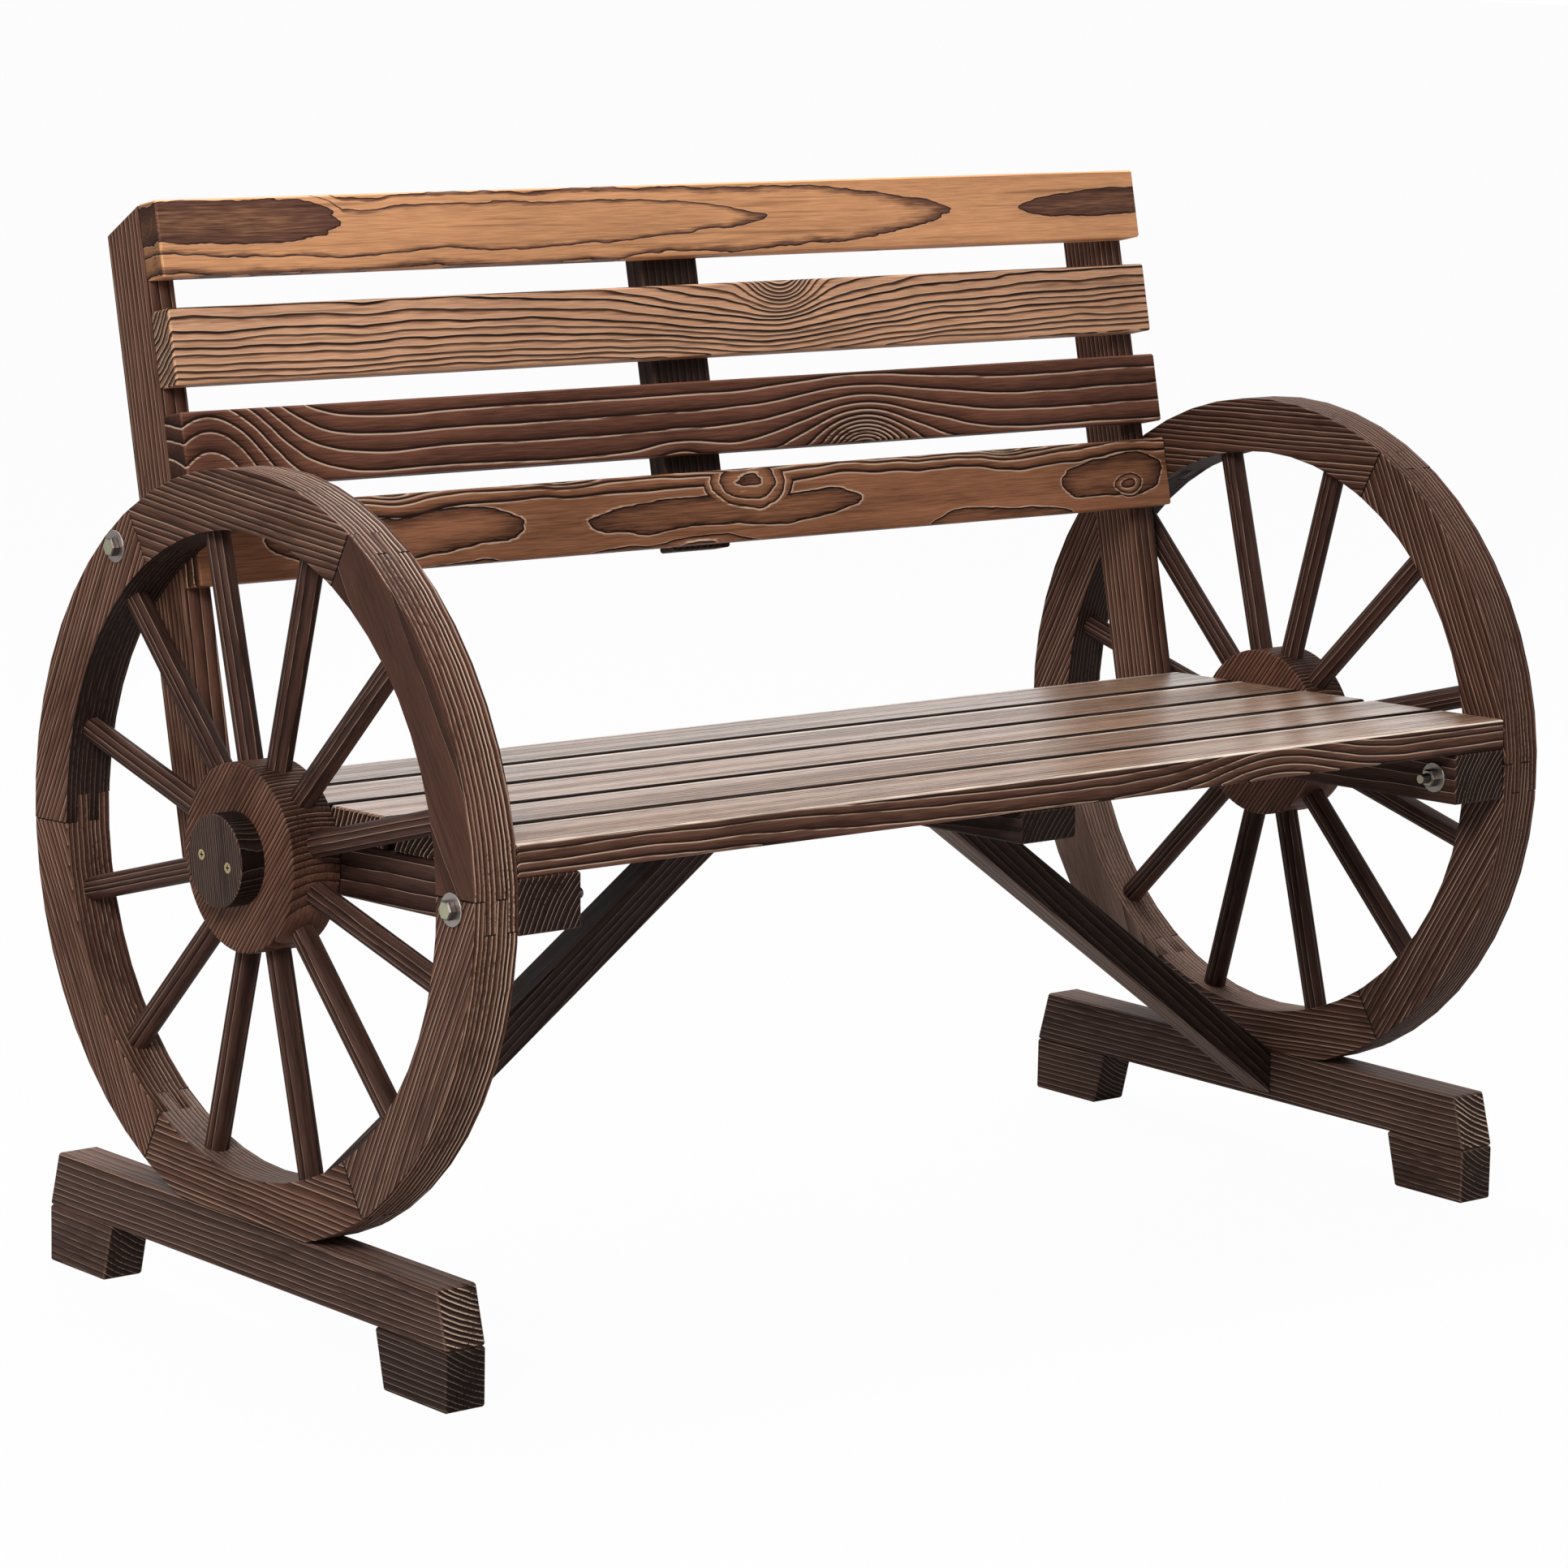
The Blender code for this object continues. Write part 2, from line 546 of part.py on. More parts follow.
def slats_underside(y):
    """Height of the slats' underside at a place across the seat."""
    line_y, line_z = seat_point(0.0, -SLAT_THICKNESS)
    return line_z + (y - line_y) * sin(SEAT_TILT) / cos(SEAT_TILT)


def make_brace(materials, side_name, side):
    """Diagonal from the rail's inner face up to the slats beside the seat batten, cut to fit both."""
    foot_x = RIM_MIDDLE_X - RAIL_WIDTH / 2 - GAP
    head_x = BATTEN_WIDTH / 2 + BRACE_OFFSET
    foot_top = RAIL_TOP - BRACE_DROP
    rise = slats_underside(BRACE_CENTRE_Y) - GAP - foot_top
    run = foot_x - head_x
    slope = atan2(rise, run) + asin(BRACE_WIDTH / hypot(rise, run))
    back_y = BRACE_CENTRE_Y + BRACE_THICKNESS / 2
    front_y = BRACE_CENTRE_Y - BRACE_THICKNESS / 2
    bm = bmesh.new()
    corners = [(foot_x, foot_top - BRACE_WIDTH / cos(slope)), (foot_x, foot_top)]
    corners += [(head_x + BRACE_WIDTH / sin(slope), SEAT_HEIGHT), (head_x, SEAT_HEIGHT)]
    extrude_outline(bm, [(side * x, front_y, z) for x, z in corners], (0.0, back_y - front_y, 0.0))
    for vert in bm.verts:
        if vert.co.z > foot_top + PASS:
            vert.co.z = slats_underside(vert.co.y) - GAP
    soften(finish_mesh(f"brace_{side_name}", bm, materials["under"]))


def make_materials():
    return {
        "wheel": make_material("charred_wheel_fir", (0.095, 0.052, 0.033), 0.62),
        "cap": make_material("charred_cap_fir", (0.060, 0.036, 0.027), 0.60),
        "skid": make_material("charred_skid_fir", (0.082, 0.047, 0.031), 0.64),
        "seat": make_material("brushed_seat_fir", (0.330, 0.215, 0.150), 0.50),
        "under": make_material("charred_under_fir", (0.040, 0.026, 0.021), 0.68),
        "post": make_material("charred_post_fir", (0.110, 0.062, 0.040), 0.62),
        "back": make_material("brushed_back_fir", (0.185, 0.085, 0.042), 0.52),
        "top_slat": make_material("brushed_top_fir", (0.470, 0.215, 0.095), 0.50),
        "zinc": make_material("yellow_zinc", (0.640, 0.610, 0.470), 0.30, 1.0),
        "brass": make_material("brass_screw", (0.700, 0.560, 0.280), 0.32, 1.0),
    }


def main():
    clear_scene()
    materials = make_materials()
    make_seat(materials)
    make_back(materials)
    for side_name, side in SIDES:
        bolt_cutter = make_bolt_cutter(side_name, side)
        make_felloes(materials, side_name, side, bolt_cutter)
        hub = make_spoked_hub(materials, side_name, side)
        make_hub_cap(materials, side_name, side, hub)
        make_cap_screws(materials, side_name, side)
        make_bolts(materials, side_name, side)
        make_skid(materials, side_name, side)
        make_bearer(materials, side_name, side, bolt_cutter)
        make_post(materials, side_name, side, bolt_cutter)
        make_brace(materials, side_name, side)


main()
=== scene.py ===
"""Dresses the wagon wheel bench: charred and brushed fir, zinc bolts, brass screws, pale studio."""

import math
from functools import partial
from typing import NamedTuple

import bpy
from mathutils import Matrix, Vector


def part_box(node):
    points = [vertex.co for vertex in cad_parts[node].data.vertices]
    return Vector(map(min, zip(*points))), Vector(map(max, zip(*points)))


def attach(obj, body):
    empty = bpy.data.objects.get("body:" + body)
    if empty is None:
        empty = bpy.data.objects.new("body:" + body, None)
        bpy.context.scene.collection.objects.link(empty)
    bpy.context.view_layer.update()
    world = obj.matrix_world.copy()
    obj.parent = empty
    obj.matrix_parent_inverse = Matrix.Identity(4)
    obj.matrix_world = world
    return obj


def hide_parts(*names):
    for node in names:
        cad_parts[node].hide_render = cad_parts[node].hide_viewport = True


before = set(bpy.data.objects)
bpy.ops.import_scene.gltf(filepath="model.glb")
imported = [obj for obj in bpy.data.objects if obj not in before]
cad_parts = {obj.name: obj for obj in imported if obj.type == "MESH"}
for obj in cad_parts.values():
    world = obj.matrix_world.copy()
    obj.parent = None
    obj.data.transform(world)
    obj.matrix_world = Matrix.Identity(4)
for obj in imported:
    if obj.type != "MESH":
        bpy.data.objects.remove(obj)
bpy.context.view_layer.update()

bl_info = {
    "name": "Wagon Wheel Bench",
    "version": (1, 0, 0),
    "blender": (4, 5, 0),
    "location": "View3D > Sidebar > Bench",
    "description": "Builds the dressed look of a charred fir bench between two wagon wheels",
    "category": "Object",
}

BODY = "root"
SIDES = ("left", "right")
ENDS = ("front", "rear")
FELLOES = 6
SPOKES = 12
SEAT_SLATS = 5
ALONG_BENCH = Vector((1.0, 0.0, 0.0))
BACKWARD = Vector((0.0, 1.0, 0.0))
HUB_GRAIN = Vector((0.0, 0.62, -0.78)).normalized()
CAP_GRAIN = Vector((0.0, 0.15, 0.99)).normalized()
HUB_SIDES = 72
SPOKE_SIDES = 24
THREAD_ROOT = 0.86

# Distances in metres, and shares of a unit normal, that tell faces and edges apart.
MERGE = 0.00001
ON_ROUND = 0.0002
CHAMFER_WIDTH = 0.003
RECESS = (0.0002, 0.0040)
END_GRAIN = 0.8
SHARP = 0.8
HEAD_ON = 0.9
SIDEWAYS = 0.95
TILTED = 0.3
FLAT_ANGLE = math.radians(0.5)

# Places of the materials on a piece.
FACE, RUBBED, OWN = range(3)
EDGE_HIGHLIGHT, EDGE, GAP_SHADE = range(1, 4)
TREAD, BORE, JOINT = range(2, 5)

# Names under which a mesh keeps its grain, and where each piece's own stretch of wood lies.
GRAIN = "grain"
RUN = "grain_run"
SIDE = "grain_side"
LENGTHWISE = Vector((1.0, 0.0, 0.0))
CROSSWISE = Vector((0.0, 1.0, 0.0))
BOARD_STEP = 3.7
BOARD_SPREAD = 0.12
GOLDEN_TURN = 2.399963
FELLOE_LEAN = 0.08
HUB_STRETCH = 31
CAP_STRETCH = 41

# Lines and shading that all brushed fir shares.
PROBE = 0.0004
LINE_CORE = 0.4
YEAR_RATE = 0.37
ISLAND_FALL = 2.0
STREAK_FRAY = 0.15
FIBRE_FRAY = 0.35
END_TURN = (0.5, 0.95)
END_SHADE = 0.6
BURNT = (0.12, 0.44)
BURNT_AMOUNT = 0.40
RUBBED_CREST = (-0.56, 0.0)
BAND_FRAY = 0.5
WORN_BAND = (-0.20, 0.24)
FIBRE_RELIEF = 0.00011
GROOVE_DEPTH = 0.8
FIBRE_ROUGH = 0.125
GROOVE_ROUGH = 0.10
CREST_POLISH = 0.08

# Marks on plated metal.
FINE_MARKS = 900.0
BROAD_MARKS = 120.0
TARNISH = (0.50, 0.75)
TARNISH_AMOUNT = 0.5
DULL_SHARE = 0.45
MARK_ROUGH = 0.2
MARK_RELIEF = 0.00006
# Share of the brass colour that paints the shade in a screw's cross recess.
RECESS_SHADE_SHARE = 0.12

# Floor and film of the studio.
WHITE = (1.0, 1.0, 1.0, 1.0)
FLOOR_GREY = (0.60, 0.60, 0.60, 1.0)
FLOOR_DROP = 0.0004
FLOOR_GLOW = 0.97
FILM_WIDTH = 36.0


class Weave(NamedTuple):
    """A noise drawn out along the grain: cells in a metre along and across, finer layers, start and swing."""

    along: float
    across: float
    detail: float = 1.0
    start: float = 0.0
    reach: float = 1.0


# Unevenness of fir, from the slow bend of a trunk down to single fibres.
WAVE = Weave(11.0, 14.0, 1.5, 5.0)
SWAY = Weave(2.0, 9.0, reach=2.0)
RIPPLE = Weave(13.0, 60.0, 2.0, 7.0, 1.5)
RAGGED = Weave(40.0, 130.0, 2.0, reach=3.0)
FIBRE = Weave(40.0, 900.0, 3.0)
STREAK = Weave(5.0, 210.0, 2.0, 3.0)
PATCH = Weave(7.0, 26.0, 2.0, 11.0)
BAND = Weave(1.5, 75.0, 2.0)


class Swirl(NamedTuple):
    """A hill or, with a negative lift, a hollow in the ring field, round which the rings bend."""

    along: float
    across: float
    length: float
    width: float
    lift: float
    blunt: float = 1.0


class Island(NamedTuple):
    """A closed ring line round a place on a board, with how many rings it rises to its middle."""

    along: float
    across: float
    length: float
    width: float
    ring: float
    rise: float
    blunt: float = 1.0
    ragged: float = 0.08
    square: float = 2.0


class Figure(NamedTuple):
    """How the growth rings lie in a board, in metres."""

    spacing: float
    pith_across: float
    pith_depth: float
    sway: float
    ripple: float
    wave: float = 0.0
    years: float = 0.0
    swirls: tuple = ()
    islands: tuple = ()


class Finish(NamedTuple):
    """Colours and wear of one brushed surface, from one ring line to the next."""

    dark: tuple
    light: tuple
    worn_crest_highlight: tuple
    char: tuple
    ridge_width: float = 0.0008
    char_width: float = 0.0011
    ridge_amount: float = 0.7
    char_amount: float = 0.8
    turn: tuple = (0.0, 0.9)
    fray: float = 1.0
    uneven: float = 0.3
    fibre: float = 0.45
    mottle: float = 0.35
    bands: float = 0.0
    polish: float = 0.0
    relief: float = 0.0004
    roughness: float = 0.5
    gloss: float = 0.06


class Lamp(NamedTuple):
    """Where a soft round lamp stands, where it points and how wide it is, in metres."""

    place: tuple
    target: tuple
    size: float


TOP_LAMP = Lamp(place=(0.5, 0.9, 3.2), target=(0.0, 0.1, 0.4), size=2.2)
KEY_LAMP = Lamp(place=(-3.0, -2.1, 2.6), target=(0.0, 0.0, 0.4), size=1.5)

# Rings of each board, from the figure that the photograph shows.
TOP_SLAT = Figure(
    spacing=0.020, pith_across=0.0, pith_depth=-0.3615, sway=0.0010, ripple=0.0012, wave=0.0065,
    islands=(
        Island(-0.200, -0.0010, 0.478, 0.0275, 19.0, 0.70, 1.0, 0.06),
        Island(-0.250, 0.0010, 0.333, 0.0175, 20.0, 0.80, 0.5, 0.06),
        Island(-0.440, 0.0100, 0.110, 0.0160, 21.0, 0.07, 0.8, 0.16),
        Island(0.470, 0.0010, 0.112, 0.0110, 19.0, 0.07, 0.3, 0.08),
    ),
)
SECOND_SLAT = Figure(
    spacing=0.0044, pith_across=0.060, pith_depth=-0.045, sway=0.0026, ripple=0.0016, wave=0.0030, years=0.6,
    swirls=(
        Swirl(0.092, 0.034, 0.030, 0.012, -0.0300, 1.5),
        Swirl(0.070, 0.010, 0.130, 0.060, -0.0150, 1.0),
    ),
)
THIRD_SLAT = Figure(
    spacing=0.0125, pith_across=-0.110, pith_depth=-0.040, sway=0.0016, ripple=0.0010, wave=0.0020,
    swirls=(
        Swirl(-0.470, 0.010, 0.065, 0.060, -0.0700, 1.5),
        Swirl(0.161, -0.030, 0.080, 0.020, -0.0360, 1.5),
        Swirl(0.161, -0.032, 0.032, 0.009, -0.0750, 1.5),
        Swirl(-0.030, -0.028, 0.035, 0.008, -0.0110, 0.5),
    ),
)
FOURTH_SLAT = Figure(
    spacing=0.010, pith_across=0.0, pith_depth=-0.1745, sway=0.0010, ripple=0.0012, wave=0.0110,
    swirls=(Swirl(0.0, 0.040, 2.0, 0.006, 0.0900, 1.0),),
    islands=(
        Island(-0.310, -0.002, 0.120, 0.0165, 19.0, 0.8),
        Island(0.010, -0.005, 0.140, 0.0130, 19.0, 0.7),
        Island(0.034, 0.018, 0.046, 0.0300, 19.0, 3.2, 1.5, 0.04, 1.0),
        Island(0.427, -0.002, 0.058, 0.0165, 19.0, 0.7),
        Island(0.444, -0.009, 0.016, 0.0080, 20.0, 1.4, 1.0, 0.08, 1.0),
        Island(0.300, -0.033, 0.080, 0.0140, 19.0, 0.7),
        Island(-0.110, -0.036, 0.200, 0.0100, 19.0, 1.3),
    ),
)
FRONT_SEAT = Figure(
    spacing=0.0044, pith_across=-0.090, pith_depth=-0.060, sway=0.0050, ripple=0.0008, wave=0.0012, years=0.6,
    swirls=(Swirl(0.240, -0.036, 0.075, 0.060, -0.0110, 1.0),),
)
SEAT_BOARD = Figure(
    spacing=0.0042, pith_across=-0.090, pith_depth=-0.060, sway=0.0040, ripple=0.0010, wave=0.0020, years=0.6
)
STRAIGHT_FELLOE = Figure(
    spacing=0.0033, pith_across=-0.120, pith_depth=-0.150, sway=0.0024, ripple=0.0006, years=0.9
)
FLAT_FELLOE = Figure(
    spacing=0.0042, pith_across=0.020, pith_depth=-0.160, sway=0.0020, ripple=0.0005, wave=0.0015, years=0.6
)
TREAD_BOARD = Figure(
    spacing=0.0040, pith_across=0.000, pith_depth=-0.500, sway=0.0012, ripple=0.0004, years=0.6
)
SPOKE_ROD = Figure(
    spacing=0.0042, pith_across=-0.060, pith_depth=-0.024, sway=0.0020, ripple=0.0005, years=0.7
)
HUB_BLOCK = Figure(spacing=0.0036, pith_across=-0.200, pith_depth=0.0, sway=0.0020, ripple=0.0004, years=0.6)
CAP_BLOCK = HUB_BLOCK._replace(spacing=0.0026, years=0.5)
SKID_BOARD = Figure(
    spacing=0.0040, pith_across=-0.110, pith_depth=-0.060, sway=0.0030, ripple=0.0006, years=0.6
)
POST_BOARD = SKID_BOARD._replace(spacing=0.0042)
UNDER_BOARD = SKID_BOARD._replace(spacing=0.0050, pith_across=-0.080, sway=0.0040)

# Where each tint lies on the bench, with its soft wood's light colour and its hard rings' dark one.
FIR_TINTS = {
    "top": ("Top slat", (0.640, 0.312, 0.152), (0.110, 0.050, 0.036)),
    "second": ("Second slat", (0.590, 0.320, 0.190), (0.220, 0.097, 0.052)),
    "third": ("Third slat", (0.158, 0.064, 0.040), (0.064, 0.026, 0.017)),
    "fourth": ("Fourth slat", (0.255, 0.110, 0.057), (0.060, 0.025, 0.016)),
    "seat": ("Seat", (0.330, 0.190, 0.118), (0.100, 0.050, 0.030)),
    # Painted shade at the seat gaps and on the caps' turned sides; the felloe joints take it as dark joints.
    "gap": ("Painted shade at gaps and cap sides, and dark joints", (0.018, 0.010, 0.008), (0.007, 0.004, 0.003)),
    # A painted highlight along the seat slats' edges.
    "sheen_band": ("Painted highlight on seat edges", (0.780, 0.640, 0.530), (0.520, 0.380, 0.290)),
    "wheel": ("Left rim and posts", (0.140, 0.064, 0.043), (0.044, 0.019, 0.012)),
    # Painted shade on the right wheel's rim.
    "far": ("Right rim", (0.092, 0.042, 0.029), (0.032, 0.014, 0.009)),
    "flat": ("Plain felloe", (0.078, 0.035, 0.024), (0.042, 0.019, 0.013)),
    # Painted shade inside the rims.
    "bore_shade": ("Painted shade inside the rims", (0.030, 0.017, 0.014), (0.015, 0.008, 0.006)),
    # Painted shade on the left wheel's spokes.
    "spoke": ("Left spokes", (0.076, 0.036, 0.026), (0.023, 0.011, 0.008)),
    "hub": ("Hubs", (0.150, 0.066, 0.043), (0.060, 0.026, 0.017)),
    "cap": ("Hub caps", (0.059, 0.031, 0.023), (0.038, 0.021, 0.017)),
    # Painted shade on the right wheel's spokes.
    "bearer": ("Seat bearers and right spokes", (0.064, 0.031, 0.023), (0.026, 0.012, 0.009)),
    # Painted shade on the battens and the right brace.
    "under": ("Battens and right brace", (0.042, 0.023, 0.018), (0.014, 0.008, 0.006)),
    # Painted light on the left brace.
    "brace": ("Left brace", (0.060, 0.036, 0.032), (0.022, 0.014, 0.013)),
    "pale_wood": ("Pale wood, and painted light on low bores", (0.210, 0.135, 0.105), (0.110, 0.064, 0.048)),
    "skid": ("Rails and blocks", (0.088, 0.049, 0.037), (0.038, 0.021, 0.016)),
    "block": ("Darkest block", (0.042, 0.026, 0.021), (0.017, 0.010, 0.008)),
}


def colour_property(label, words, value):
    return bpy.props.FloatVectorProperty(
        name=label, description=words, subtype="COLOR", size=3, min=0.0, max=1.0, default=value
    )


def length_property(label, words, value):
    return bpy.props.FloatProperty(
        name=label, description=words, default=value, min=0.0, unit="LENGTH", precision=5
    )


def power_property(label, words, value):
    return bpy.props.FloatProperty(name=label, description=words, subtype="POWER", default=value, min=0.0)


class BenchColours(bpy.types.PropertyGroup):
    """Colours of the brushed fir and of the metal."""

    # The crest colour carries a painted highlight and the groove colour a painted shadow, beside the bump
    # that raises the rings.
    worn_crest_highlight: colour_property("Ridge and highlight", "Worn crest of a raised ring, with a painted highlight", (0.680, 0.480, 0.350))
    char: colour_property("Char and shadow", "Burnt groove below a raised ring, with a painted shadow", (0.010, 0.005, 0.004))
    zinc: colour_property("Zinc", "Faces of bolt heads and nuts", (0.500, 0.490, 0.340))
    # Painted shade on the sides of bolt heads, nuts and threads.
    zinc_shade: colour_property("Painted shade on zinc", "Sides of bolt heads, nuts and threads", (0.120, 0.100, 0.095))
    # Painted highlight on the washers' rims, and painted shade on their faces.
    washer: colour_property("Washer", "Painted highlight on the washers' rims", (0.760, 0.720, 0.640))
    washer_shade: colour_property("Washer face", "Painted shade on the washers' faces", (0.400, 0.360, 0.330))
    brass: colour_property("Brass", "Cap screws", (0.620, 0.500, 0.280))


for tint, (part, light, dark) in FIR_TINTS.items():
    BenchColours.__annotations__[f"{tint}_light"] = colour_property(f"{part}, light", "Its soft wood", light)
    BenchColours.__annotations__[f"{tint}_dark"] = colour_property(f"{part}, dark", "Its hard rings", dark)


class BenchSizes(bpy.types.PropertyGroup):
    """Sizes that the dressed pieces have beside those of the frame."""

    board_round: length_property("Board rounding", "Rounding of the worn board edges", 0.0005)
    rim_round: length_property("Rim rounding", "Rounding of the felloes' edges", 0.0006)
    # A pale strip that paints a highlight along the rear of each seat slat.
    seat_highlight: length_property("Seat highlight", "Width of the pale strip at a seat slat's rear edge", 0.0060)
    # A strip of painted shade along the front of each seat slat, beside the gap.
    seat_gap_shade: length_property("Seat gap shade", "Width of the painted shade at a seat slat's front edge", 0.0030)
    hub_radius: length_property("Hub radius", "Radius of each hub", 0.0695)
    hub_round: length_property("Hub rounding", "Rounding of the hub's edges", 0.0018)
    spoke_hub_radius: length_property("Spoke radius at hub", "Radius where a spoke leaves the hub", 0.0094)
    spoke_rim_radius: length_property("Spoke radius at rim", "Radius where a spoke enters the rim", 0.0092)
    spoke_set: length_property("Spoke set", "Depth of a spoke's end inside the hub", 0.0120)
    spoke_round: length_property("Spoke rounding", "Rounding of a spoke's ends", 0.0008)
    thread_pitch: length_property("Thread pitch", "Distance between the ridges of a bolt's thread", 0.00125)
    thread_length: length_property("Thread length", "Threaded end of a bolt", 0.0210)
    metal_round: length_property("Metal rounding", "Rounding of bolt heads, nuts and washers", 0.0003)


class BenchStudio(bpy.types.PropertyGroup):
    """Camera, lamps and floor."""

    lens: bpy.props.FloatProperty(
        name="Lens", description="Focal length in millimetres", default=123.40, min=1.0
    )
    place: bpy.props.FloatVectorProperty(
        name="Camera place", description="Where the camera stands", subtype="XYZ", unit="LENGTH",
        default=(-2.6660, -3.1661, 1.0743),
    )
    yaw: bpy.props.FloatProperty(
        name="Yaw", description="Turn of the camera from straight ahead", subtype="ANGLE", default=0.6953
    )
    pitch: bpy.props.FloatProperty(
        name="Pitch", description="Tip of the camera above the horizon", subtype="ANGLE", default=-0.1713
    )
    roll: bpy.props.FloatProperty(
        name="Roll", description="Turn of the camera about its own line", subtype="ANGLE", default=0.0193
    )
    sky: bpy.props.FloatProperty(name="Sky", description="Light from all round", default=0.25, min=0.0)
    top_power: power_property("Top lamp", "Power of the soft lamp above", 95.0)
    key_power: power_property("Key lamp", "Power of the soft lamp at the front left", 120.0)
    floor_half: length_property("Floor half width", "Half of the floor's side", 30.0)


class Value:
    """A shader socket that takes part in Python arithmetic."""

    def __init__(self, graph, socket):
        self.graph = graph
        self.socket = socket

    def math(self, operation, *others):
        return self.graph.node("ShaderNodeMath", {"operation": operation}, dict(enumerate((self, *others))))

    def __add__(self, other):
        return self.math("ADD", other)

    __radd__ = __add__

    def __sub__(self, other):
        return self.math("SUBTRACT", other)

    def __rsub__(self, other):
        return self.graph.node("ShaderNodeMath", {"operation": "SUBTRACT"}, {0: other, 1: self})

    def __mul__(self, other):
        return self.math("MULTIPLY", other)

    __rmul__ = __mul__

    def __truediv__(self, other):
        return self.math("DIVIDE", other)

    def __pow__(self, other):
        return self.math("POWER", other)


class Graph:
    """A node tree, filled by calls."""

    def __init__(self, tree):
        self.tree = tree
        self.shader = tree.nodes.get("Principled BSDF")

    def connect(self, value, socket):
        if isinstance(value, Value):
            self.tree.links.new(value.socket, socket)
        else:
            socket.default_value = value

    def node(self, kind, settings=None, inputs=None, output=0):
        made = self.tree.nodes.new(kind)
        for key, value in (settings or {}).items():
            setattr(made, key, value)
        for key, value in (inputs or {}).items():
            self.connect(value, made.inputs[key])
        return Value(self, made.outputs[output])

    def attribute(self, name):
        return self.node("ShaderNodeAttribute", {"attribute_name": name}, None, "Vector")

    def parts(self, vector):
        split = self.tree.nodes.new("ShaderNodeSeparateXYZ")
        self.connect(vector, split.inputs[0])
        return tuple(Value(self, socket) for socket in split.outputs)

    def moved(self, place, direction, step):
        settings = {"operation": "MULTIPLY_ADD"}
        return self.node("ShaderNodeVectorMath", settings, {0: direction, 1: (step, step, step), 2: place})

    def noise(self, x, y, z, detail=1.0):
        """Soft noise from about -1 to 1, with one cell to a unit."""
        place = self.node("ShaderNodeCombineXYZ", None, {0: x, 1: y, 2: z})
        cloud = self.node("ShaderNodeTexNoise", None, {"Vector": place, "Scale": 1.0, "Detail": detail})
        return cloud * 2.0 - 1.0

    def drawn(self, parts, weave):
        """Noise that is drawn out along the grain."""
        along, across, depth = parts
        across, depth = across * weave.across, depth * weave.across
        return self.noise(along * weave.along + weave.start, across, depth, weave.detail) * weave.reach

    def chance(self, number):
        """A share from 0 to 1 that each whole number keeps."""
        return self.node("ShaderNodeTexWhiteNoise", {"noise_dimensions": "1D"}, {"W": number})

    def smooth(self, value, low, high):
        return self.node(
            "ShaderNodeMapRange", {"interpolation_type": "SMOOTHSTEP"},
            {"Value": value, "From Min": low, "From Max": high},
        )

    def blend(self, amount, first, second):
        mix = self.tree.nodes.new("ShaderNodeMix")
        mix.data_type = "RGBA"
        self.connect(amount, mix.inputs[0])
        self.connect(first, mix.inputs[6])
        self.connect(second, mix.inputs[7])
        return Value(self, mix.outputs[2])

    def scaled(self, colour, amount):
        settings = {"operation": "SCALE"}
        return self.node("ShaderNodeVectorMath", settings, {0: colour, "Scale": amount})

    def set(self, **values):
        for key, value in values.items():
            self.connect(value, self.shader.inputs[key.replace("_", " ")])

    def bump(self, height):
        return self.node("ShaderNodeBump", None, {"Strength": 1.0, "Distance": 1.0, "Height": height})


def new_material(name):
    material = bpy.data.materials.new(name)
    material.use_nodes = True
    return material, Graph(material.node_tree)


def rgba(colour):
    return (*colour, 1.0)


def blunted(value, blunt):
    """A ridge rounded at its top, which is zero there."""
    return (value * value + blunt * blunt) ** 0.5 - blunt


def ring_phase(graph, place, figure):
    """Counts growth rings outward from the pith, with sway, ripple, swirls and islands."""
    along, across, depth = graph.parts(place)
    if figure.wave:
        across = across + graph.drawn((along, across, depth), WAVE) * figure.wave
    parts = (along, across, depth)
    from_pith = (across - figure.pith_across) ** 2.0 + (depth - figure.pith_depth) ** 2.0
    radius = from_pith ** 0.5 + graph.drawn(parts, SWAY) * figure.sway
    radius = radius + graph.drawn(parts, RIPPLE) * figure.ripple
    for swirl in figure.swirls:
        far_along = (along - swirl.along) / swirl.length
        far_across = blunted((across - swirl.across) / swirl.width, swirl.blunt)
        fall = (far_along * far_along + far_across) * -1.0
        radius = radius + fall.math("EXPONENT") * swirl.lift
    phase = radius / figure.spacing
    if figure.years:
        phase = phase + graph.noise(phase * YEAR_RATE, 0.0, 0.0) * figure.years
    if figure.islands:
        fray = graph.drawn(parts, RAGGED)
    for island in figure.islands:
        far_along = ((along - island.along) / island.length) ** 2.0
        reach = island.width / ((1.0 + island.blunt) ** 2 - island.blunt ** 2) ** 0.5
        far_across = blunted((across - island.across) / reach, island.blunt)
        inside = 1.0 - (far_along ** island.square + far_across) + fray * island.ragged
        within = inside.math("MAXIMUM", 0.0) * island.rise
        beyond = inside.math("MINIMUM", 0.0) * ISLAND_FALL
        phase = phase.math("MAXIMUM", within + beyond + island.ring)
    return phase


def ring_lines(graph, place, directions, figure, finish):
    """Each ring's number and the rise through it, with the burnt groove at its line that also paints a
    shadow, and the pale worn crest that also paints a highlight.
    """
    phase = ring_phase(graph, place, figure)
    slope = 0.0
    for direction in directions:
        beside = ring_phase(graph, graph.moved(place, direction, PROBE), figure)
        slope = ((beside - phase) / PROBE) ** 2.0 + slope
    slope = slope ** 0.5 + 1.0
    ring = phase.math("FLOOR")
    rise = phase - ring
    groove = 1.0 - graph.smooth(rise / slope, LINE_CORE * finish.char_width, finish.char_width)
    crest = 1.0 - graph.smooth((1.0 - rise) / slope, LINE_CORE * finish.ridge_width, finish.ridge_width)
    return ring, rise, groove, crest


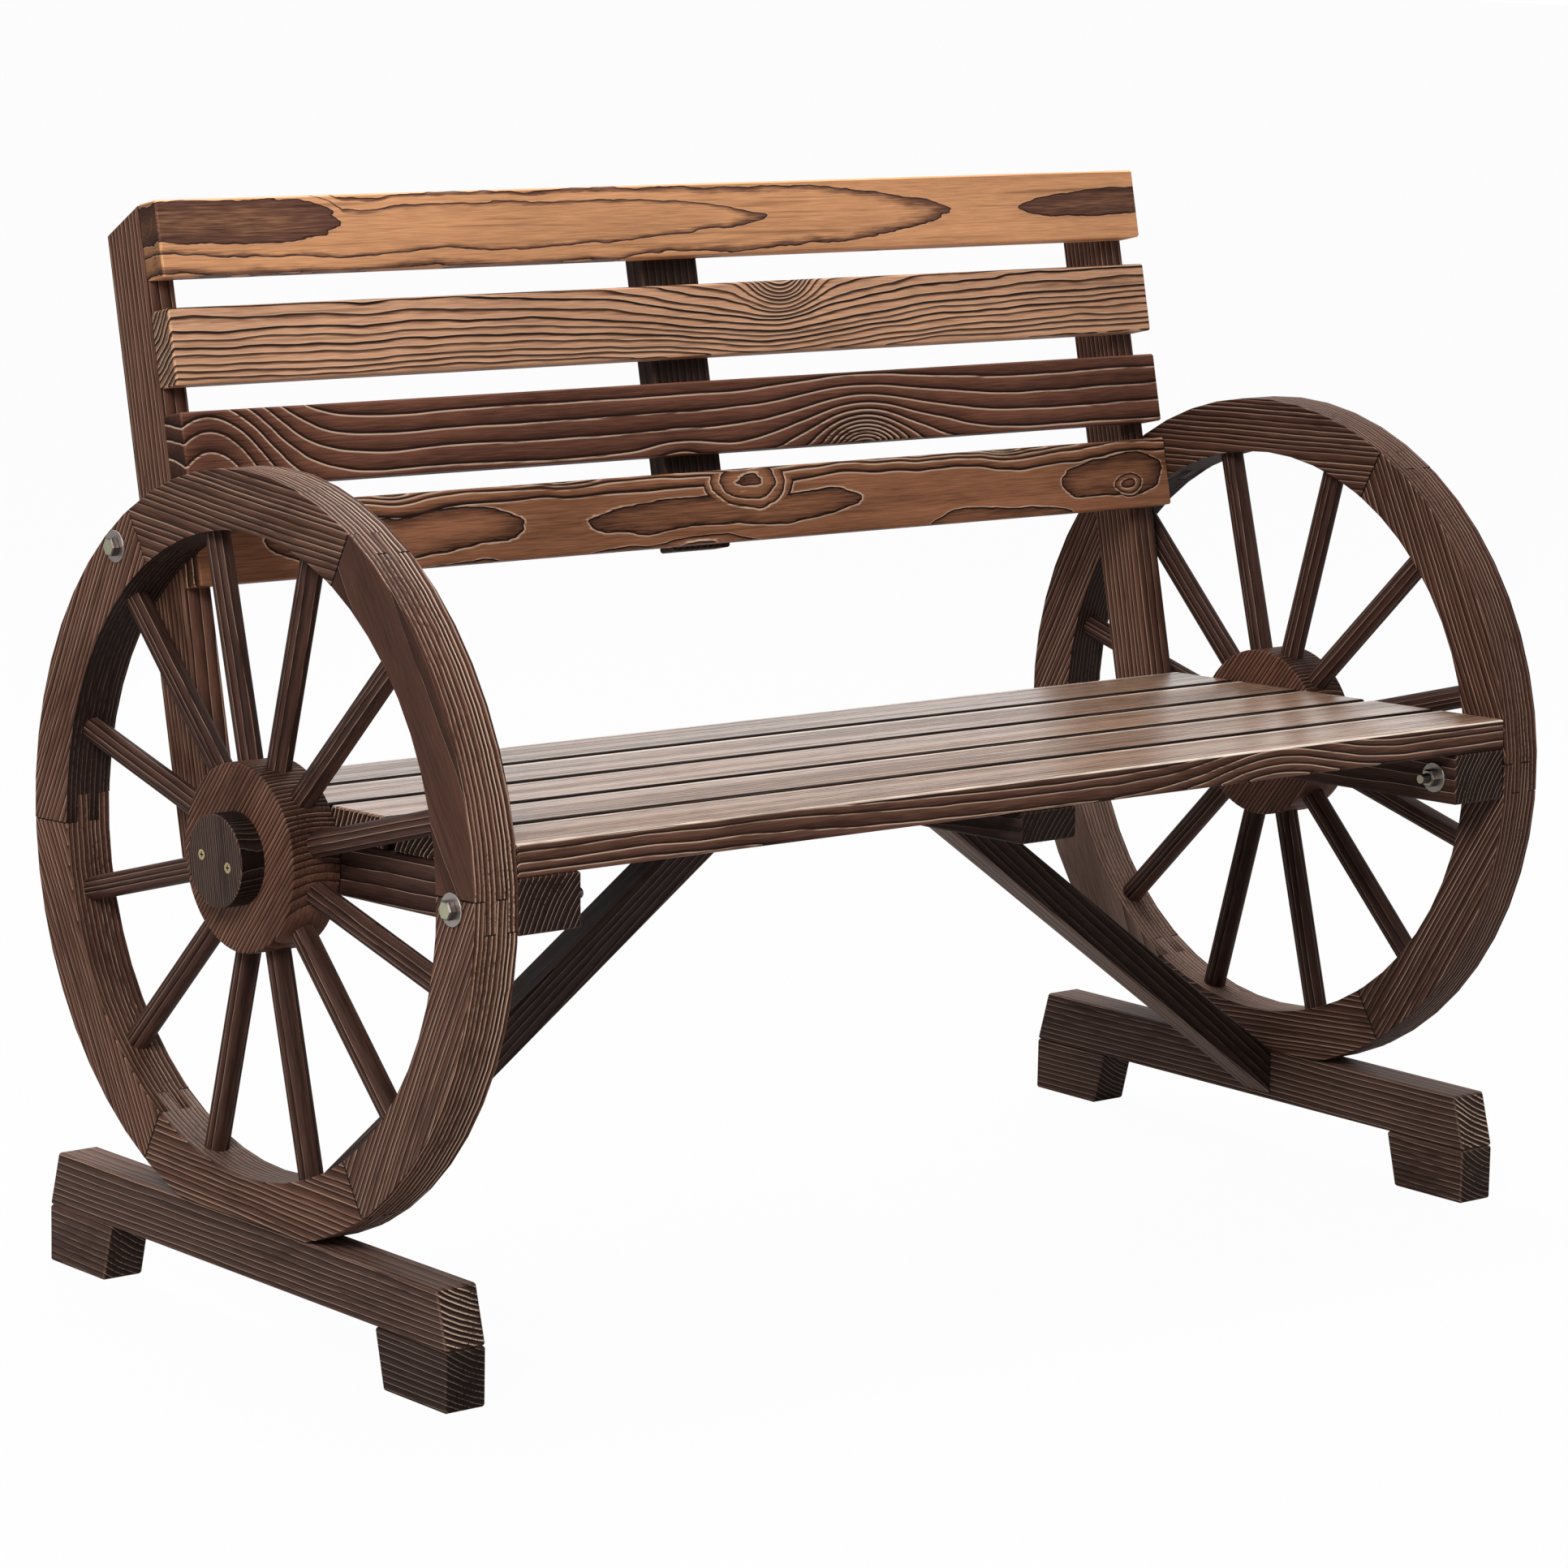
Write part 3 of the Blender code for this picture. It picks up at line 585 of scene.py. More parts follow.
def brushed_fir(name, figure, finish, lift):
    """Charred fir whose hard rings stand proud, with pale worn crests that also paint a highlight and burnt
    grooves that also paint a shadow.
    """
    material, graph = new_material(name)
    place, run, side = (graph.attribute(key) for key in (GRAIN, RUN, SIDE))
    ring, rise, groove, crest = ring_lines(graph, place, (run, side), figure, finish)
    parts = graph.parts(place)
    fibre, streak, patch = (graph.drawn(parts, weave) for weave in (FIBRE, STREAK, PATCH))

    fray = (streak * STREAK_FRAY + fibre * FIBRE_FRAY) * finish.fray
    wood = graph.blend(graph.smooth(rise + fray, *finish.turn), rgba(finish.dark), rgba(finish.light))
    board = graph.chance((parts[0] / BOARD_STEP).math("ROUND")) * 2.0 - 1.0
    shade = fibre * finish.fibre + patch * finish.mottle + 1.0 + board * BOARD_SPREAD
    if finish.bands:
        band = graph.drawn(parts, BAND)
        shade = shade + band * finish.bands
        if finish.polish:
            sheen_band = graph.smooth(band + fibre * BAND_FRAY, *WORN_BAND)
            graph.set(Coat_Weight=sheen_band * finish.polish, Coat_Roughness=finish.roughness)
    facing = graph.node("ShaderNodeVectorMath", {"operation": "CROSS_PRODUCT"}, {0: run, 1: side})
    end_grain = graph.smooth(graph.parts(facing)[0].math("ABSOLUTE"), *END_TURN)
    wood = graph.scaled(wood, shade * (lift - end_grain * (END_SHADE * lift)))

    char, worn_crest_highlight = rgba(finish.char), rgba(finish.worn_crest_highlight)
    wood = graph.blend(graph.smooth(streak, *BURNT) * BURNT_AMOUNT, wood, char)
    strength = graph.chance(ring) * finish.uneven + (1.0 - finish.uneven)
    # Burnt groove below each ring line, dark as char and as a painted shadow.
    wood = graph.blend(groove * strength * finish.char_amount, wood, char)
    # Pale worn crest above each ring line, with a painted highlight.
    rubbed = crest * strength * graph.smooth(patch + fibre, *RUBBED_CREST)
    wood = graph.blend(rubbed * finish.ridge_amount, wood, worn_crest_highlight)

    rough = fibre * FIBRE_ROUGH + groove * GROOVE_ROUGH - crest * CREST_POLISH
    height = rise * finish.relief + fibre * FIBRE_RELIEF - groove * (GROOVE_DEPTH * finish.relief)
    graph.set(
        Base_Color=wood,
        Roughness=rough + finish.roughness,
        Specular_IOR_Level=finish.gloss,
        Normal=graph.bump(height),
    )
    return material


def plated_metal(name, colour, roughness):
    """Satin plate with faint drawing marks and a little tarnish."""
    material, graph = new_material(name)
    place = graph.node("ShaderNodeTexCoord", None, None, "Object")
    fine = graph.node("ShaderNodeTexNoise", None, {"Vector": place, "Scale": FINE_MARKS, "Detail": 3.0})
    broad = graph.node("ShaderNodeTexNoise", None, {"Vector": place, "Scale": BROAD_MARKS, "Detail": 2.0})
    tarnish = graph.smooth(broad, *TARNISH) * TARNISH_AMOUNT
    graph.set(
        Base_Color=graph.blend(tarnish, rgba(colour), rgba(colour * DULL_SHARE)),
        Metallic=1.0,
        Roughness=(fine - 0.5 + tarnish) * MARK_ROUGH + roughness,
        Normal=graph.bump(fine * MARK_RELIEF),
    )
    return material


def colours():
    return bpy.context.scene.bench_colours


def sizes():
    return bpy.context.scene.bench_sizes


def fir(name, figure, tint, lift=1.0, **wear):
    """One brushed wood in a tint of the bench."""
    group = colours()
    finish = Finish(
        dark=getattr(group, f"{tint}_dark"), light=getattr(group, f"{tint}_light"),
        worn_crest_highlight=group.worn_crest_highlight, char=group.char, **wear,
    )
    return brushed_fir(name, figure, finish, lift)


def fir_pair(name, figure, tint, lift=1.35, **wear):
    """The wood of a board's faces, and its paler wood where the edges are rubbed."""
    return fir(name, figure, tint, **wear), fir(f"{name}_rubbed", figure, tint, lift, **wear)


def only(piece):
    """Leaves one object selected and active."""
    bpy.ops.object.select_all(action="DESELECT")
    piece.select_set(True)
    bpy.context.view_layer.objects.active = piece


def copied_node(node, ending, materials):
    """A merged copy of a CAD node to work on, with its new materials."""
    piece = bpy.data.objects.new(f"{node}_{ending}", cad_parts[node].data.copy())
    bpy.context.scene.collection.objects.link(piece)
    piece.data.materials.clear()
    for material in materials:
        piece.data.materials.append(material)
    only(piece)
    bpy.ops.object.mode_set(mode="EDIT")
    bpy.ops.mesh.select_all(action="SELECT")
    bpy.ops.mesh.remove_doubles(threshold=MERGE)
    bpy.ops.mesh.dissolve_limited(angle_limit=FLAT_ANGLE)
    bpy.ops.mesh.normals_make_consistent(inside=False)
    bpy.ops.object.mode_set(mode="OBJECT")
    return piece


def cut_across(piece, axis, places):
    """Cuts a piece's faces square to an axis at each place."""
    only(piece)
    bpy.ops.object.mode_set(mode="EDIT")
    for place in places:
        bpy.ops.mesh.select_all(action="SELECT")
        bpy.ops.mesh.bisect(plane_co=axis * place, plane_no=axis)
    bpy.ops.object.mode_set(mode="OBJECT")


def round_edges(width, segments=2, sharpness=30.0):
    """Bevels the sharp edges of the active object."""
    bpy.ops.object.mode_set(mode="EDIT")
    bpy.ops.mesh.select_all(action="DESELECT")
    bpy.ops.mesh.select_mode(type="EDGE")
    bpy.ops.mesh.edges_select_sharp(sharpness=math.radians(sharpness))
    bpy.ops.mesh.bevel(offset=width, segments=segments, affect="EDGES", clamp_overlap=True)
    bpy.ops.object.mode_set(mode="OBJECT")


def smooth_shade(piece, angle=50.0):
    """Smooth rounding that leaves the flat faces flat."""
    only(piece)
    bpy.ops.object.shade_smooth_by_angle(angle=math.radians(angle))
    even = piece.modifiers.new("even_normals", "WEIGHTED_NORMAL")
    even.keep_sharp = True
    bpy.ops.object.modifier_apply(modifier=even.name)


def lay_grain(piece, along, across, shift=(0.0, 0.0, 0.0)):
    """Stores each point's place along, across and into the board for the wood to read."""
    deep = along.cross(across)
    points = [vertex.co for vertex in piece.data.vertices]
    low = Vector(min(point[axis] for point in points) for axis in range(3))
    high = Vector(max(point[axis] for point in points) for axis in range(3))
    middle = (low + high) / 2
    turn = Matrix((along, across, deep))
    store = piece.data.attributes.new(GRAIN, "FLOAT_VECTOR", "POINT")
    for index, point in enumerate(points):
        store.data[index].vector = turn @ (point - middle) + Vector(shift)
    runs = piece.data.attributes.new(RUN, "FLOAT_VECTOR", "FACE")
    sides = piece.data.attributes.new(SIDE, "FLOAT_VECTOR", "FACE")
    for face in piece.data.polygons:
        facing = turn @ face.normal
        lengthwise = CROSSWISE if abs(facing.x) > END_GRAIN else LENGTHWISE
        run = (lengthwise - facing * lengthwise.dot(facing)).normalized()
        runs.data[face.index].vector = run
        sides.data[face.index].vector = facing.cross(run)


def board_axes(piece):
    """Grain along the longest edge, and across it on the widest face."""
    mesh = piece.data
    ends = [[mesh.vertices[index].co for index in edge.vertices] for edge in mesh.edges]
    first, last = max(ends, key=lambda pair: (pair[1] - pair[0]).length)
    along = (last - first).normalized()
    along = along * (1.0 if along.x + along.y + along.z > 0.0 else -1.0)
    wide = max(mesh.polygons, key=lambda face: face.area).normal.copy()
    wide = wide * (1.0 if wide.z - wide.y - wide.x > 0.0 else -1.0)
    return along, wide.cross(along).normalized()


def mark_rubbed_edges(piece):
    """Gives the narrow chamfers of a board its second material."""
    mesh = piece.data
    for face in mesh.polygons:
        sides = [mesh.vertices[first].co - mesh.vertices[last].co for first, last in face.edge_keys]
        longest = max(side.length for side in sides)
        face.material_index = RUBBED if face.area / longest < CHAMFER_WIDTH else FACE


def settle(piece, slot, *nodes):
    """Hands a finished piece to the frame in place of its CAD nodes."""
    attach(piece, BODY)
    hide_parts(*nodes)


def dressed_board(node, woods, slot, shift=(0.0, 0.0, 0.0), paint=None):
    """A board of the frame with rubbed, rounded edges and grain along its length."""
    piece = copied_node(node, "wood", woods)
    along, across = board_axes(piece)
    mark_rubbed_edges(piece)
    if paint:
        paint(piece)
    round_edges(sizes().board_round)
    lay_grain(piece, along, across, shift)
    smooth_shade(piece)
    settle(piece, slot, node)


def shifted(index, reach=0.006):
    """A place in the wood field that is each piece's own."""
    turn = index * GOLDEN_TURN
    return (BOARD_STEP * index, reach * math.cos(turn), reach * math.sin(turn))


class BENCH_OT_back_slats(bpy.types.Operator):
    """Dress the four slats of the back, each with its own figure"""

    bl_idname = "bench.back_slats"
    bl_label = "Back slats"

    def execute(self, context):
        top = fir_pair(
            "top_slat_fir", TOP_SLAT, "top", turn=(0.0, 0.26), fray=0.25, fibre=0.42, mottle=0.30, bands=0.30,
            ridge_amount=0.35, char_width=0.0014, char_amount=0.7, relief=0.0003,
        )
        second = fir_pair(
            "second_slat_fir", SECOND_SLAT, "second", turn=(0.0, 0.6), fibre=0.40, mottle=0.30,
            char_width=0.0030, char_amount=1.0, ridge_width=0.0010,
        )
        third = fir_pair(
            "third_slat_fir", THIRD_SLAT, "third", fibre=0.50, mottle=0.45, bands=0.40,
            ridge_width=0.0018, ridge_amount=0.95, char_width=0.0026, char_amount=1.0,
        )
        fourth = fir_pair(
            "fourth_slat_fir", FOURTH_SLAT, "fourth", turn=(-0.1, 0.8), fibre=0.50, mottle=0.50, bands=0.60,
            ridge_width=0.0019, ridge_amount=1.0, char_width=0.0022, char_amount=1.0,
        )
        dressed_board("back_slat_1", top, "brushed_top_fir")
        for index, woods in enumerate((second, third, fourth)):
            dressed_board(f"back_slat_{index + 2}", woods, "brushed_back_fir")
        return {"FINISHED"}


class BENCH_OT_seat_slats(bpy.types.Operator):
    """Dress the five slats of the seat"""

    bl_idname = "bench.seat_slats"
    bl_label = "Seat slats"

    def execute(self, context):
        glaze = {
            "roughness": 0.30, "gloss": 0.5, "ridge_amount": 0.5, "fibre": 0.7, "mottle": 0.4,
            "bands": 1.0, "polish": 0.7,
        }
        lines = {"ridge_width": 0.0012, "ridge_amount": 0.9, "char_width": 0.0018, "char_amount": 0.95}
        front = fir("front_seat_fir", FRONT_SEAT, "seat", **glaze)
        # Darker wood on the slats' front faces, ends and undersides, which paints them shaded beside the lit
        # tops.
        shaded_sides = fir("seat_side_shade_fir", FRONT_SEAT, "wheel", **lines)
        rest = fir("seat_fir", SEAT_BOARD, "seat", **glaze)
        # Near-black wood that paints the shade in the gaps between the seat slats.
        gap_shade = fir("seat_gap_shade_fir", SEAT_BOARD, "gap", ridge_amount=0.1)
        # Pale wood that paints a highlight along each slat's rear edge and on the front slat's front arris.
        sheen_band = fir("seat_edge_highlight_fir", SEAT_BOARD, "sheen_band", **glaze)
        for index in range(SEAT_SLATS):
            woods = (rest if index else front, sheen_band, shaded_sides, gap_shade)
            paint = partial(self.paint_seat_light_and_shade, before=index > 0, behind=index < SEAT_SLATS - 1)
            shift = shifted(index, reach=0.012)
            dressed_board(f"seat_slat_{index + 1}", woods, "brushed_seat_fir", shift, paint)
        return {"FINISHED"}

    def paint_seat_light_and_shade(self, piece, before, behind):
        """Paints shade on the edges that lie at a gap before or behind a slat and on a strip along its front
        edge, paints shade on its other sides, and paints a highlight on its pale rear strip.
        """
        depths = [vertex.co.y for vertex in piece.data.vertices]
        front = min(depths) + sizes().seat_gap_shade
        rear = max(depths) - sizes().seat_highlight
        cut_across(piece, BACKWARD, (front, rear))
        for face in piece.data.polygons:
            ahead = before and (face.normal.y < -TILTED or face.center.y < front)
            if ahead or (behind and face.normal.y > TILTED):
                # Painted shade at the gaps.
                face.material_index = GAP_SHADE
            elif face.normal.z < TILTED:
                # Painted shade on the sides.
                face.material_index = EDGE
            elif face.center.y > rear:
                # Painted highlight on the rear strip.
                face.material_index = EDGE_HIGHLIGHT
            elif before:
                face.material_index = FACE


class BENCH_OT_frame_boards(bpy.types.Operator):
    """Dress the posts, battens, bearers and braces"""

    bl_idname = "bench.frame_boards"
    bl_label = "Frame boards"

    def execute(self, context):
        posts = fir_pair("post_fir", POST_BOARD, "wheel", ridge_amount=0.5)
        bearers = fir_pair("bearer_fir", POST_BOARD, "bearer", ridge_amount=0.4)
        # The battens and the right brace take a dark tint that paints their shade, the left brace a lighter
        # one that paints the light on it.
        under = fir_pair("under_fir", UNDER_BOARD, "under", fibre=0.4, ridge_amount=0.12, char_amount=0.5)
        pale_wood = fir("pale_wood_fir", UNDER_BOARD, "pale_wood", fibre=0.4, ridge_amount=0.2, char_amount=0.4)
        lit = fir_pair("left_brace_fir", UNDER_BOARD, "brace", ridge_amount=0.2, char_amount=0.6)
        boards = (
            ("back_post_left", posts, "charred_post_fir"),
            ("back_post_right", posts, "charred_post_fir"),
            ("back_batten", under, "charred_post_fir"),
            ("seat_bearer_left", bearers, "charred_under_fir"),
            ("seat_bearer_right", bearers, "charred_under_fir"),
            ("seat_batten", under, "charred_under_fir"),
        )
        for index, (node, woods, slot) in enumerate(boards):
            dressed_board(node, woods, slot, shifted(index))
        for index, (side, woods) in enumerate(zip(SIDES, (lit, under))):
            braces = (*woods, pale_wood)
            dressed_board(f"brace_{side}", braces, "charred_under_fir", shifted(index), self.bare_underside)
        return {"FINISHED"}

    def bare_underside(self, piece):
        """Leaves the faces that look down at the floor in the paler wood."""
        for face in piece.data.polygons:
            if face.normal.z < -TILTED and abs(face.normal.x) < SIDEWAYS:
                face.material_index = OWN


class BENCH_OT_skids(bpy.types.Operator):
    """Dress the rails and foot blocks under the wheels"""

    bl_idname = "bench.skids"
    bl_label = "Skids"

    def execute(self, context):
        woods = fir_pair("skid_fir", SKID_BOARD, "skid", lift=1.9, ridge_amount=0.4)
        blocks = fir_pair("block_fir", SKID_BOARD, "block", ridge_amount=0.3)
        ends = fir(
            "skid_end_fir_rubbed", SKID_BOARD, "skid", lift=1.4, ridge_width=0.0014, ridge_amount=1.0,
            char_width=0.0022, char_amount=1.0,
        )
        for row, side in enumerate(SIDES):
            rail = (*woods, ends)
            dressed_board(f"skid_rail_{side}", rail, "charred_skid_fir", shifted(row), self.paler_top_and_ends)
            for index, end in enumerate(ENDS):
                node = f"foot_block_{end}_{side}"
                darkest = side == "left" and end == "front"
                shift = shifted(2 + 2 * row + index)
                dressed_board(node, blocks if darkest else woods, "charred_skid_fir", shift)
        return {"FINISHED"}

    def paler_top_and_ends(self, piece):
        """Gives a rail's top the paler wood of its rubbed edges, and its ends their own."""
        for face in piece.data.polygons:
            if face.normal.z > HEAD_ON:
                face.material_index = RUBBED
            elif abs(face.normal.y) > HEAD_ON:
                face.material_index = OWN


def wheel_centre(side):
    """The middle of a wheel's rim, on the axle."""
    low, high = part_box(f"hub_cap_{side}")
    rim_low, rim_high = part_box(f"felloe_{side}_1")
    return Vector(((rim_low.x + rim_high.x) / 2, (low.y + high.y) / 2, (low.z + high.z) / 2))


def outward(angle):
    """The direction from an axle to a place on the rim, from the front round by the top."""
    return Vector((0.0, -math.cos(angle), math.sin(angle)))


class BENCH_OT_rims(bpy.types.Operator):
    """Dress the felloes of both wheels, each sawn along its own chord"""

    bl_idname = "bench.rims"
    bl_label = "Rims"

    def execute(self, context):
        cord = {
            "mottle": 0.45, "uneven": 0.7, "char_width": 0.0017, "ridge_width": 0.0011, "ridge_amount": 0.5,
        }
        near = fir_pair("straight_felloe_fir", STRAIGHT_FELLOE, "wheel", **cord)
        # The right rim's darker wood paints the shade on the far wheel.
        far = fir_pair("shaded_far_felloe_fir", STRAIGHT_FELLOE, "far", **cord)
        bold = {**cord, "char_width": 0.0024, "char_amount": 1.0, "ridge_width": 0.0014, "ridge_amount": 0.95}
        tread = fir("tread_fir", TREAD_BOARD, "wheel", **bold)
        shaded_far_tread = fir("shaded_far_tread_fir", TREAD_BOARD, "far", **cord)
        flat = fir_pair("flat_felloe_fir", FLAT_FELLOE, "flat", fibre=0.4, ridge_amount=0.25, char_amount=0.6)
        # Dark wood that paints the shade inside the rims.
        bore_shade = fir("bore_shade_fir", TREAD_BOARD, "bore_shade", fibre=0.4, ridge_amount=0.15, char_amount=0.5)
        pale_wood = fir_pair("pale_felloe_fir", FLAT_FELLOE, "pale_wood", fibre=0.5, ridge_amount=0.25, char_amount=0.7)
        # Pale wood that paints the light on the low bores, which face up to the lamps.
        lit_bore = fir_pair("lit_bore_fir", TREAD_BOARD, "pale_wood", lift=1.8, fibre=0.5, ridge_amount=0.25)
        joint = fir("joint_fir", STRAIGHT_FELLOE, "gap", fibre=0.4, ridge_amount=0.1)
        own_faces = {"felloe_left_1": flat, "felloe_right_3": near, "felloe_right_4": pale_wood}
        # The low bores take pale wood that paints the light on them.
        own_bores = {
            "felloe_left_4": shaded_far_tread, "felloe_left_5": lit_bore[0],
            "felloe_right_4": lit_bore[1], "felloe_right_5": lit_bore[1],
        }
        wheels = ((near, tread), (far, shaded_far_tread))
        for row, (side, (ribbed, round_wood)) in enumerate(zip(SIDES, wheels)):
            centre = wheel_centre(side)
            for index in range(FELLOES):
                node = f"felloe_{side}_{index + 1}"
                faces = own_faces.get(node, ribbed)
                inside = own_bores.get(node, bore_shade)
                piece = copied_node(node, "wood", (*faces, round_wood, inside, joint))
                self.part_faces(piece, centre)
                angle = (index + 0.5) * math.tau / FELLOES
                angle += FELLOE_LEAN * math.sin(GOLDEN_TURN * (row * FELLOES + index + 1))
                out = outward(angle)
                self.round_rim(piece, centre)
                self.char_joints(piece, centre)
                lay_grain(piece, out.cross(ALONG_BENCH), out, shifted(row * FELLOES + index))
                smooth_shade(piece, angle=40.0)
                settle(piece, "charred_wheel_fir", node)
        return {"FINISHED"}

    def part_faces(self, piece, centre):
        """Gives a felloe's tread and bore their own woods."""
        for face in piece.data.polygons:
            out = Vector((0.0, face.center.y - centre.y, face.center.z - centre.z)).normalized()
            turned = face.normal.dot(out)
            if abs(turned) > SHARP:
                face.material_index = TREAD if turned > 0.0 else BORE

    def spans(self, mesh, centre):
        """Half of a felloe's thickness, and each point's distance from the axle."""
        half = max(abs(vertex.co.x - centre.x) for vertex in mesh.vertices)
        return half, [math.hypot(v.co.y - centre.y, v.co.z - centre.z) for v in mesh.vertices]

    def round_rim(self, piece, centre):
        """Rounds the edges that run round the wheel, and eases the joints where they show."""
        mesh = piece.data
        only(piece)
        bpy.ops.object.mode_set(mode="EDIT")
        bpy.ops.mesh.select_all(action="DESELECT")
        bpy.ops.mesh.select_mode(type="EDGE")
        bpy.ops.object.mode_set(mode="OBJECT")
        sharp = self.sharp_edges(mesh)
        half, radii = self.spans(mesh, centre)
        outer, inner = max(radii), min(radii)
        for edge in mesh.edges:
            ends = [mesh.vertices[index].co for index in edge.vertices]
            far = [radii[index] for index in edge.vertices]
            on_face = all(abs(abs(end.x - centre.x) - half) < MERGE for end in ends)
            on_rim = all(abs(radius - outer) < ON_ROUND for radius in far)
            on_bore = all(abs(radius - inner) < ON_ROUND for radius in far)
            edge.select = sharp[edge.index] and (on_face or on_rim or on_bore)
        bpy.ops.object.mode_set(mode="EDIT")
        bpy.ops.mesh.bevel(
            offset=sizes().rim_round, segments=2, affect="EDGES", clamp_overlap=True, material=RUBBED
        )
        bpy.ops.object.mode_set(mode="OBJECT")

    def char_joints(self, piece, centre):
        """Darkens the eased edges at the joints, and leaves those that run round the wheel rubbed."""
        mesh = piece.data
        near = 2.0 * sizes().rim_round
        half, radii = self.spans(mesh, centre)
        outer, inner = max(radii), min(radii)
        for face in mesh.polygons:
            radius = math.hypot(face.center.y - centre.y, face.center.z - centre.z)
            at_side = half - abs(face.center.x - centre.x) < near
            at_edge = outer - radius < near or radius - inner < near
            if face.material_index == RUBBED and not (at_side and at_edge):
                face.material_index = JOINT

    def sharp_edges(self, mesh):
        """Whether each edge parts two faces that lie at more than a slight angle."""
        normals = [[] for edge in mesh.edges]
        places = {edge.key: edge.index for edge in mesh.edges}
        for face in mesh.polygons:
            for key in face.edge_keys:
                normals[places[key]].append(face.normal)
        return [len(pair) == 2 and pair[0].dot(pair[1]) < SHARP for pair in normals]


class BENCH_OT_hubs(bpy.types.Operator):
    """Turn the hubs and set their spokes"""

    bl_idname = "bench.hubs"
    bl_label = "Hubs and spokes"

    def execute(self, context):
        streaks = {"fibre": 0.5, "mottle": 0.5, "uneven": 0.8, "ridge_amount": 0.35}
        # The spokes take darker tints that paint their shade, the left ones the darkest.
        near = fir("shaded_spoke_fir", SPOKE_ROD, "spoke", **streaks)
        far = fir("shaded_far_spoke_fir", SPOKE_ROD, "bearer", **streaks)
        block = fir("hub_fir", HUB_BLOCK, "hub", char_width=0.0015, **streaks)
        low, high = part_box("spoked_hub_left")
        hub = self.make_hub(high.x - low.x)
        spoke = self.make_spoke((high.z - low.z) / 2)
        for row, (side, rod) in enumerate(zip(SIDES, (near, far))):
            node = f"spoked_hub_{side}"
            low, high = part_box(node)
            centre = wheel_centre(side)
            middle = Vector(((low.x + high.x) / 2, centre.y, centre.z))
            shift = shifted(HUB_STRETCH + row)
            piece = self.place_copy(hub, f"hub_{side}_wood", block, middle, 0.0, HUB_GRAIN, shift)
            settle(piece, "charred_wheel_fir", node)
            for index in range(SPOKES):
                angle = (index + 0.5) * math.tau / SPOKES
                out = outward(angle)
                name = f"spoke_{side}_{index + 1}_wood"
                shift = shifted(row * SPOKES + index, reach=0.004)
                piece = self.place_copy(spoke, name, rod, centre, math.pi / 2 - angle, out, shift)
                settle(piece, "charred_wheel_fir", node)
        for pattern in (hub, spoke):
            bpy.data.objects.remove(pattern)
        return {"FINISHED"}

    def make_hub(self, length):
        """The turned block of a wheel, with its edges eased, round the origin."""
        group = sizes()
        bpy.ops.object.select_all(action="DESELECT")
        bpy.ops.mesh.primitive_cylinder_add(
            vertices=HUB_SIDES, radius=group.hub_radius, depth=length, rotation=(0.0, math.pi / 2, 0.0)
        )
        bpy.ops.object.transform_apply(location=True, rotation=True, scale=True)
        round_edges(group.hub_round, segments=3, sharpness=60.0)
        return bpy.context.active_object

    def make_spoke(self, tip):
        """A tapered rod with eased ends, which stands up from inside the hub to its tip."""
        group = sizes()
        root = group.hub_radius - group.spoke_set
        bpy.ops.object.select_all(action="DESELECT")
        bpy.ops.mesh.primitive_cone_add(
            vertices=SPOKE_SIDES, radius1=group.spoke_hub_radius, radius2=group.spoke_rim_radius,
            depth=tip - root, location=(0.0, 0.0, (tip + root) / 2),
        )
        bpy.ops.object.transform_apply(location=True, rotation=True, scale=True)
        round_edges(group.spoke_round, sharpness=60.0)
        return bpy.context.active_object

    def place_copy(self, pattern, name, wood, place, turn, along, shift):
        """A copy of a pattern at its place in a wheel, with its own grain."""
        only(pattern)
        bpy.ops.object.duplicate(linked=False)
        piece = bpy.context.active_object
        piece.name = name
        piece.data.materials.append(wood)
        piece.location = place
        piece.rotation_euler = (turn, 0.0, 0.0)
        bpy.ops.object.transform_apply(location=True, rotation=True, scale=True)
        lay_grain(piece, along, ALONG_BENCH.cross(along), shift)
        smooth_shade(piece, angle=40.0)
        return piece


class BENCH_OT_caps(bpy.types.Operator):
    """Dress the turned hub caps"""

    bl_idname = "bench.caps"
    bl_label = "Hub caps"

    def execute(self, context):
        woods = fir_pair("cap_fir", CAP_BLOCK, "cap", lift=1.8, fibre=0.3, ridge_amount=0.2)
        # Near-black wood that paints the shade on the caps' turned sides.
        turned = fir("cap_side_shade_fir", CAP_BLOCK, "gap", fibre=0.3, ridge_amount=0.1)
        for index, side in enumerate(SIDES):
            node = f"hub_cap_{side}"
            piece = copied_node(node, "wood", (*woods, turned))
            for face in piece.data.polygons:
                facing = abs(face.normal.x)
                face.material_index = OWN if facing < TILTED else RUBBED if facing < HEAD_ON else FACE
            lay_grain(piece, CAP_GRAIN, ALONG_BENCH.cross(CAP_GRAIN), shifted(CAP_STRETCH + index))
            smooth_shade(piece, angle=30.0)
            settle(piece, "charred_cap_fir", node)
        return {"FINISHED"}


